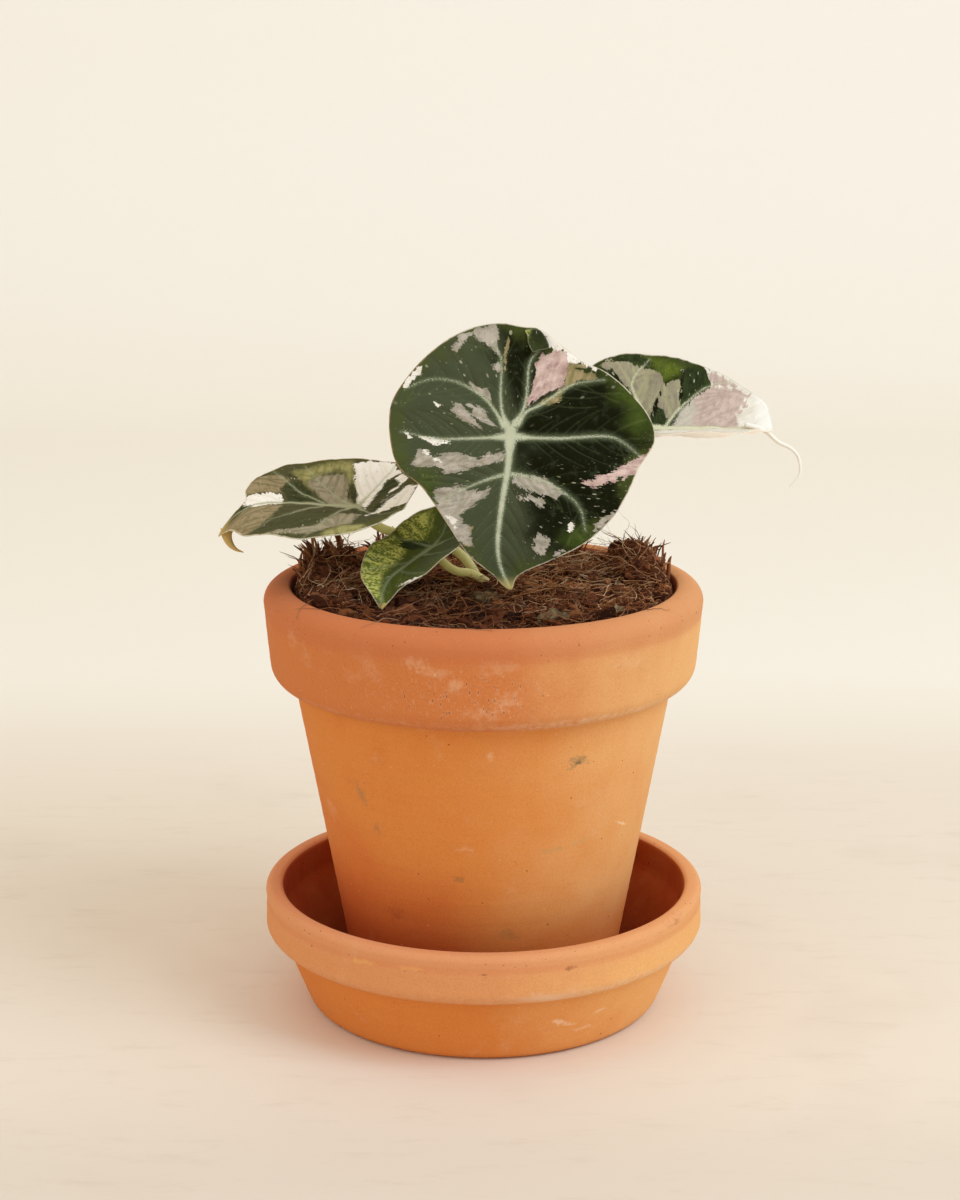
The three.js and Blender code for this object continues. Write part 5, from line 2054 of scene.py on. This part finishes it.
@dataclass(frozen=True)
class Tuft:
    """A bundle of coarse fibres that stands up out of the soil."""

    bearing: float
    radius: float
    count: int
    tall: float
    lean: float
    spread: float = 1.8
    thick: float = 0.46


@dataclass(frozen=True)
class Clod:
    """A lump that lies on the soil: matted coir, or a rough stone."""

    bearing: float
    radius: float
    lift: float
    reach: Triple


@dataclass
class PottingMix:
    """The soil in the pot: its body, a mat of coir and loose matter on top, clods and tufts at the rim."""

    floor: float = 13.6
    edge: float = 135.2
    edge_radius: float = 60.5
    mouth_radius: float = 61.2
    crown: Pair = (4, 11)
    mound: Pair = (1.8, 22.4)
    lump_fade: float = 12
    heaped: float = 3.2
    heap_from_edge: float = 3
    heap_width: float = 5
    rugged: float = 1.5
    lump_rows: int = 13
    lump_sides: int = 22
    lip_centre: Pair = (64.6, 134)
    lip_reach: float = 5.95
    sides: int = 240
    top_rings: int = 66
    open_shares: Pair = (0.975, 0.02)
    open_rings: int = 42
    front_until: float = 8
    clods: tuple[Clod, ...] = (
        Clod(180, 53, 1.8, (6.5, 6, 5)), Clod(169, 53.5, 3.2, (6, 6.5, 6)), Clod(158, 53, 3.4, (6.5, 6, 5.5)),
        Clod(148, 51, 1, (6, 4.5, 3.5)), Clod(126, 53, 0.8, (6, 5, 3.4)), Clod(66, 50, 0.6, (7, 6, 3.6)),
        Clod(50, 50, 0.4, (7, 5.5, 3.4)), Clod(26, 52, 3.2, (7, 5, 6)), Clod(17, 53, 4.6, (7, 5.5, 7.4)),
        Clod(7, 53, 2.6, (6.5, 6, 5.4)), Clod(96, 44, 0.2, (8, 7, 3)), Clod(28, 36, 0.4, (9, 8, 4)),
        Clod(196, 50, 0.6, (7, 7, 3.4)), Clod(235, 34, 0.4, (9, 11, 3)))
    stones: tuple[Clod, ...] = (
        Clod(-63.4, 47, 2.3, (2.8, 5, 2.6)), Clod(-88.6, 20, 2.2, (2.8, 3.6, 2.3)),
        Clod(-40, 54, 1.8, (1.8, 2.6, 1.7)), Clod(-108, 40, 1.2, (1.6, 2, 1.2)),
        Clod(70, 46, 0.8, (2, 2.6, 1.6)), Clod(190, 24, 0.8, (2, 2.4, 1.5)))
    tufts: tuple[Tuft, ...] = (
        Tuft(182, 55, 14, 8, 4), Tuft(175, 55, 20, 12, 4, 2.2), Tuft(168, 55, 26, 13.5, 3, 2.4),
        Tuft(160, 54, 20, 13.5, 2.5, 2.2), Tuft(151, 54, 14, 13, 2.5, 1.0, 0.6), Tuft(131, 54, 14, 10, 3),
        Tuft(126, 54, 18, 12.5, 3, 1.4), Tuft(54, 53, 16, 9, 3), Tuft(26, 54, 18, 9, 4, 2.4),
        Tuft(18, 55, 26, 12.5, 4, 2.6), Tuft(9, 56, 14, 9, 4, 2.2), Tuft(74, 52, 8, 8, 2))
    wisps: tuple[Tuft, ...] = (
        Tuft(174, 57, 3, 8, 9, 3, 0.15), Tuft(165, 57, 4, 11, 9, 3, 0.13), Tuft(154, 57, 3, 12, 6, 3, 0.14),
        Tuft(22, 57, 3, 11, 4, 3, 0.16), Tuft(12, 57, 2, 9, 3, 2, 0.16))
    overhangs: tuple[Triple, ...] = (
        (209, 9, 8), (224, 5, -14), (243, 6, -6), (262, 3, 12), (318, 5, 9))

    def height(self, x: np.ndarray, y: np.ndarray) -> np.ndarray:
        """The lumpy top of the soil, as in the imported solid, with finer lumps on it.

        Args:
            x: One x a point.
            y: One y a point.

        Returns:
            One height a point.
        """
        radius = np.hypot(x, y)
        away = np.hypot(x - self.crown[0], y - self.crown[1]) / self.mound[1]
        swells = 0.7 * np.sin(x * 0.31 + 1.3) * np.cos(y * 0.27 + 0.4)
        lumps = swells + 0.5 * np.sin(x * 0.62 - y * 0.47 + 2.1)
        fade = np.clip((self.mouth_radius - radius) / self.lump_fade, 0, 1)
        place = np.column_stack([x, y])
        crumb = 0.85 * ripple(place, 7, 31) + 0.4 * ripple(place, 2.6, 32, 14)
        sideways = np.clip((np.abs(x) / np.maximum(radius, 1) - 0.3) / 0.5, 0, 1)
        off_heap = (self.edge_radius - self.heap_from_edge - radius) / self.heap_width
        heap = self.heaped * sideways * np.exp(-off_heap ** 2)
        return (self.edge + self.mound[0] * np.exp(-away ** 2) + lumps * fade + heap
                + crumb * np.clip(fade * 3, 0.3, 1))

    def _ring(self, radius: float, z: float | None) -> np.ndarray:
        """A ring at a height, or on the lumpy top where none is given.

        Args:
            radius: Its distance from the axis.
            z: Its height, or None.

        Returns:
            Rows of points.
        """
        turn = np.linspace(0, 2 * math.pi, self.sides, endpoint=False)
        x, y = radius * np.cos(turn), radius * np.sin(turn)
        return np.column_stack([x, y, self.height(x, y) if z is None else np.full(self.sides, z)])

    def bed(self) -> None:
        """The soil's body."""
        wall = [(36.9, self.floor), (54.3, 106.2), (60.1, 117), (self.edge_radius, self.edge)]
        rings = [self._ring(radius, z) for radius, z in wall]
        shares = np.linspace(1, 0, self.top_rings + 1)[1:-1]
        rings += [self._ring(self.edge_radius * share, None) for share in shares]
        middle = self.height(np.zeros(1), np.zeros(1))[0]
        skin = Skin(np.array([0, 0, self.floor]), rings, np.array([0, 0, middle]))
        finish = EarthFinish("soil_bed", CRUMB_STOPS, 1.3, by_bit=False)
        dress(make_piece("soil_bed", skin.points(), skin.faces(), finish.build()), "potting_mix", "soil")

    def surface(self, nearer_than: float) -> bpy.types.Object:
        """The open top of the soil, which the loose matter is spread over and which isn't kept.

        Args:
            nearer_than: How far back it goes, as a y.

        Returns:
            The surface.
        """
        shares = np.linspace(*self.open_shares, self.open_rings)
        rings = [self._ring(self.edge_radius * share, None) for share in shares]
        faces = []
        for ring in range(len(rings) - 1):
            for side in range(self.sides):
                there = (side + 1) % self.sides
                low, high = ring * self.sides, (ring + 1) * self.sides
                if rings[ring][side][1] < nearer_than:
                    faces.append((low + side, low + there, high + there, high + side))
        return make_piece("ground", np.vstack(rings), faces, bpy.data.materials.new("ground"))

    def lumps(self, name: str, clods: Sequence[Clod], finish: EarthFinish) -> bpy.types.Object:
        """Lumps that lie on the soil.

        Args:
            name: The piece's name.
            clods: The lumps.
            finish: Their finish.

        Returns:
            The piece.
        """
        points, faces = joined([self._lump(clod, number) for number, clod in enumerate(clods)])
        far = np.linalg.norm(points[:, :2], axis=1)
        limit = LUMP_LIMIT - 0.5 * np.clip(points[:, 2] - self.edge - 1.5, 0, 12)
        points[:, :2] *= np.minimum(1, limit / np.maximum(far, 1e-6))[:, None]
        piece = make_piece(name, points, faces, finish.build())
        dress(piece, "potting_mix")
        return piece

    def _lump(self, clod: Clod, number: int) -> Skin:
        """One rugged lump, whose number makes it differ from the others.

        Args:
            clod: Where it lies and its size.
            number: Its number.

        Returns:
            Its skin.
        """
        angle = math.radians(clod.bearing)
        way = np.array([math.cos(angle), math.sin(angle)])
        base = clod.radius * way
        centre = np.array([*base, float(self.height(base[:1], base[1:])[0]) + clod.lift])
        out, along, tall = clod.reach
        turn = np.linspace(0, 2 * math.pi, self.lump_sides, endpoint=False)
        rings = []
        for row in np.radians(np.linspace(-90, 90, self.lump_rows)[1:-1]):
            local = np.column_stack([math.cos(row) * np.cos(turn), math.cos(row) * np.sin(turn),
                                     np.full(len(turn), math.sin(row))])
            swell = 0.16 * ripple(local * 6 + number * 9, 6, 51) + 0.1 * ripple(local * 6, 2.6, 52)
            local *= (1 + self.rugged * swell)[:, None]
            across = local[:, :1] * way * out + local[:, 1:2] * np.array([-way[1], way[0]]) * along
            rings.append(centre + np.column_stack([across, local[:, 2] * tall]))
        return Skin(centre - (0, 0, tall), rings, centre + (0, 0, tall))

    def fibres(self, name: str, tufts: Sequence[Tuft], finish: EarthFinish, seed: int) -> None:
        """Bundles of coarse fibres that stand up out of the soil and lean out.

        Args:
            name: The piece's name.
            tufts: The bundles.
            finish: Their finish.
            seed: Fixes the fibres.
        """
        draw = random.Random(seed)
        strands = [self._fibre(tuft, draw) for tuft in tufts for _ in range(tuft.count)]
        self._bundle(name, strands, finish, draw)

    def _fibre(self, tuft: Tuft, draw: random.Random) -> Skin:
        """One curled fibre of a bundle, thinner towards its end.

        Args:
            tuft: The bundle.
            draw: Where its random numbers come from.

        Returns:
            Its skin.
        """
        angle = math.radians(tuft.bearing)
        way = np.array([math.cos(angle), math.sin(angle)])
        root = tuft.radius * way + np.array([draw.gauss(0, tuft.spread), draw.gauss(0, tuft.spread)])
        root *= min(1.0, LUMP_LIMIT / float(np.linalg.norm(root)))
        ground = float(self.height(root[:1], root[1:])[0])
        swing = angle + draw.gauss(0, 0.9)
        out = np.array([math.cos(swing), math.sin(swing)]) * tuft.lean * draw.uniform(0.3, 1.3)
        curl = np.array([-out[1], out[0]]) * draw.uniform(-0.5, 0.5) + draw.uniform(-0.8, 0.8)
        rise = tuft.tall * draw.uniform(0.55, 1.0)
        path = [(*root, ground - 2), (*(root + out * 0.12), ground + rise * 0.45),
                (*(root + out * 0.4 + curl * 0.5), ground + rise * 0.8),
                (*(root + out + curl), ground + rise * draw.uniform(0.9, 1.05))]
        line = smooth_line(path, 5)
        share = np.linspace(0, 1, len(line))
        width = tuft.thick * draw.uniform(0.5, 1.5) * (1 - 0.75 * share ** 3)
        return tube(line, width, 4, draw.uniform(0.3, 0.9))

    def overhanging(self) -> None:
        """Fine threads that lie over the lip of the pot."""
        draw = random.Random(37)
        strands = []
        for bearing, length, drift in self.overhangs:
            over_the_soil = [(57, 139.2), (60, 140.2), (61.8, 140.5)]
            profile = over_the_soil + arc(*self.lip_centre, self.lip_reach, 95, 95 - 7.5 * length, 5)
            path = []
            for step, (radius, z) in enumerate(profile):
                turn = math.radians(bearing + drift * step / len(profile) + draw.uniform(-0.7, 0.7))
                path.append((radius * math.cos(turn), radius * math.sin(turn), z))
            line = smooth_line(path, 5)
            strands.append(tube(line, 0.13 * (1 - 0.6 * np.linspace(0, 1, len(line))), 5))
        self._bundle("rim_threads", strands, EarthFinish("rim_thread", THREAD_STOPS, 1.5), draw)

    @staticmethod
    def _bundle(name: str, strands: Sequence[Skin], finish: EarthFinish, draw: random.Random) -> None:
        """Makes one piece of many strands, each with its own shade.

        Args:
            name: The piece's name.
            strands: The strands.
            finish: Their finish.
            draw: Where the shades come from.
        """
        points, faces = joined(strands)
        shades = np.concatenate([np.full(len(strand), draw.random()) for strand in strands])
        dress(make_piece(name, points, faces, finish.build(), {"shade": shades}), "potting_mix")

    def build(self) -> None:
        """Makes all of it."""
        self.bed()
        everywhere = self.surface(self.edge_radius)
        in_front = self.surface(self.front_until)
        trees = {Strands: strand_tree(), Crumbs: crumb_tree()}
        for kind in LITTER:
            kind.build(in_front if kind.in_front else everywhere, trees[type(kind)])
        for ground in (everywhere, in_front):
            bpy.data.objects.remove(ground)
        matted = EarthFinish("soil_clods", CRUMB_STOPS, 2.2, by_bit=False)
        lumps = self.lumps("soil_clods", self.clods, matted)
        for kind in CLOD_LITTER:
            kind.build(lumps, trees[type(kind)])
        self.lumps("soil_stones", self.stones, EarthFinish("stone", STONE_STOPS, 1.6, 0.9, False, 0.3))
        self.fibres("coir_tufts", self.tufts, EarthFinish("tuft", TUFT_STOPS, 1.6), 14)
        self.fibres("loose_wisps", self.wisps, EarthFinish("wisp", TUFT_STOPS, 1.6), 15)
        self.overhanging()


@dataclass(frozen=True)
class CormFinish:
    """The dull ringed skin of the corm and its pale roots."""

    name: str = "corm_skin"
    root: Colour = srgb(196, 172, 132)
    corm: Colour = srgb(126, 92, 60)
    ring: Colour = srgb(84, 56, 36)

    def build(self) -> bpy.types.Material:
        """Makes the material.

        Returns:
            The material.
        """
        s = Surface(self.name)
        place = s.place()
        _, _, z = s.split(place)
        rings = s.noise(s.join(0.0, 0.0, z), 0.9, 3)
        colour = s.mix(s.step(z, 104, 118), self.root, self.corm)
        colour = s.mix(s.step(rings, 0.45, 0.65) * 0.5, colour, self.ring)
        return s.finish(base_color=colour, roughness=0.8, normal=s.bump(rings, 0.4))


# Studio


@dataclass(frozen=True)
class Lamp:
    """A square soft light. Its place, its aim and its side are in metres and its power is in watts."""

    name: str
    place: Triple
    side: float
    power: float
    colour: Colour
    aim: Triple = (0, 0, 0.1)

    def build(self) -> None:
        """Adds it to the scene."""
        data = bpy.data.lights.new(self.name, "AREA")
        data.size, data.energy, data.color = self.side, self.power, self.colour
        lamp = bpy.data.objects.new(self.name, data)
        lamp.location = self.place
        way = np.array(self.aim) - np.array(self.place)
        flat = math.hypot(way[0], way[1])
        lamp.rotation_euler = (math.atan2(flat, -way[2]), 0, math.atan2(-way[0], way[1]))
        bpy.context.scene.collection.objects.link(lamp)


@dataclass(frozen=True)
class SweepFinish:
    """A pale backdrop: the floor near the pot is warmer than the far floor and the wall, with a band of
    painted shade on the floor in front of the pot.
    """

    floor: Colour = srgb(236, 222, 203)
    far: Colour = srgb(247, 239, 225)
    wall: Colour = srgb(250, 245, 237)
    mark: Colour = srgb(206, 188, 172)
    scuff: Colour = srgb(196, 170, 146)
    shade: Colour = srgb(208, 202, 198)

    def build(self) -> bpy.types.Material:
        """Makes the material.

        Returns:
            The material.
        """
        s = Surface("backdrop")
        place = s.place()
        x, y, z = s.split(place)
        marks = s.noise(place, 0.012, 3, 0.6)
        scuffs = s.noise(s.join(x * 0.03, y * 0.12, z * 0.05), 1.0, 4, 0.75)
        colour = s.mix(s.step(y, 190, 420), self.floor, self.far)
        colour = s.mix(s.step((x * x + y * y) ** 0.5, 500, 1800), colour, self.far)
        colour = s.mix(s.step(y + z, 1100, 1900), colour, self.wall)
        level = s.step(y, 330, 160)
        colour = s.multiply(s.step(marks, 0.5, 0.75) * level * 0.1, colour, self.mark)
        colour = s.multiply(s.step(scuffs, 0.52, 0.75) * level * 0.12, colour, self.scuff)
        # Painted shade: the floor is laid darker in a band just in front of the pot.
        near = s.step(y, -60, -140) * s.step(y, -600, -300)
        colour = s.multiply(near * 0.24, colour, self.shade)
        return s.finish(base_color=colour, roughness=0.7 + marks * 0.1, specular_ior_level=0.2)


@dataclass(frozen=True)
class Studio:
    """Camera, soft light and the pale sweep behind the pot."""

    camera_at: Triple = (-1.15, -728.1, 308.2)
    camera_down: float = 13.52
    lens: float = 70.2
    sensor: float = 36
    far_edge: float = 20000
    near_half: float = 500
    wall_y: float = 1400
    wall_top: float = 3000
    bend_radius: float = 300
    bend_steps: int = 15
    lamps: tuple[Lamp, ...] = (Lamp("key", (1.15, -0.75, 1.35), 0.9, 16.5, srgb(214, 234, 255)),
                               Lamp("fill", (-1.4, -1.3, 0.9), 1.6, 5, srgb(255, 251, 246)))
    room: Colour = srgb(255, 252, 246)
    room_strength: float = 0.8

    def camera(self) -> None:
        """Puts the camera where the photograph was taken from."""
        data = bpy.data.cameras.new("camera")
        data.sensor_fit = "VERTICAL"
        data.sensor_height, data.lens = self.sensor, self.lens
        data.clip_end = self.far_edge * MM
        camera = bpy.data.objects.new("camera", data)
        camera.location = [value * MM for value in self.camera_at]
        camera.rotation_euler = (math.radians(90 - self.camera_down), 0, 0)
        bpy.context.scene.collection.objects.link(camera)
        bpy.context.scene.camera = camera

    def sweep(self) -> None:
        """A floor that turns up into a wall behind the pot."""
        floor_end = self.wall_y - self.bend_radius
        bend = arc(floor_end, self.bend_radius, self.bend_radius, -90, 0, self.bend_steps)[1:]
        floor = [(y, 0) for y in (-self.far_edge, -600, 200, floor_end)]
        profile = [*floor, *bend, (self.wall_y, self.wall_top)]
        xs = (-self.far_edge, -self.near_half, self.near_half, self.far_edge)
        points = np.array([(x, y, z) for y, z in profile for x in xs], float)
        wide = len(xs)
        faces = [(row * wide + i, row * wide + i + 1, (row + 1) * wide + i + 1, (row + 1) * wide + i)
                 for row in range(len(profile) - 1) for i in range(wide - 1)]
        make_piece("backdrop", points, faces, SweepFinish().build())

    def build(self) -> None:
        """Sets all of it up."""
        scene = bpy.context.scene
        scene.view_settings.view_transform = "Standard"
        self.camera()
        self.sweep()
        for lamp in self.lamps:
            lamp.build()
        world = bpy.data.worlds.new("room")
        world.use_nodes = True
        background = world.node_tree.nodes["Background"]
        background.inputs["Color"].default_value = (*self.room, 1)
        background.inputs["Strength"].default_value = self.room_strength
        scene.world = world


def main() -> None:
    """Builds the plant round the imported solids, in order."""
    logging.basicConfig(level=logging.INFO, format="%(name)s: %(message)s")
    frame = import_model()
    Studio().build()
    for ware in (saucer(), pot()):
        ware.build()
    PottingMix().build()
    corm = frame["nodes"]["corm_and_roots"]
    corm.data.materials.clear()
    corm.data.materials.append(CormFinish().build())
    for leaf in leaves():
        leaf.build()
    skin = StalkFinish().build()
    for petiole in petioles():
        petiole.build(skin)
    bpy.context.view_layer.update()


if __name__ == "__main__":
    main()
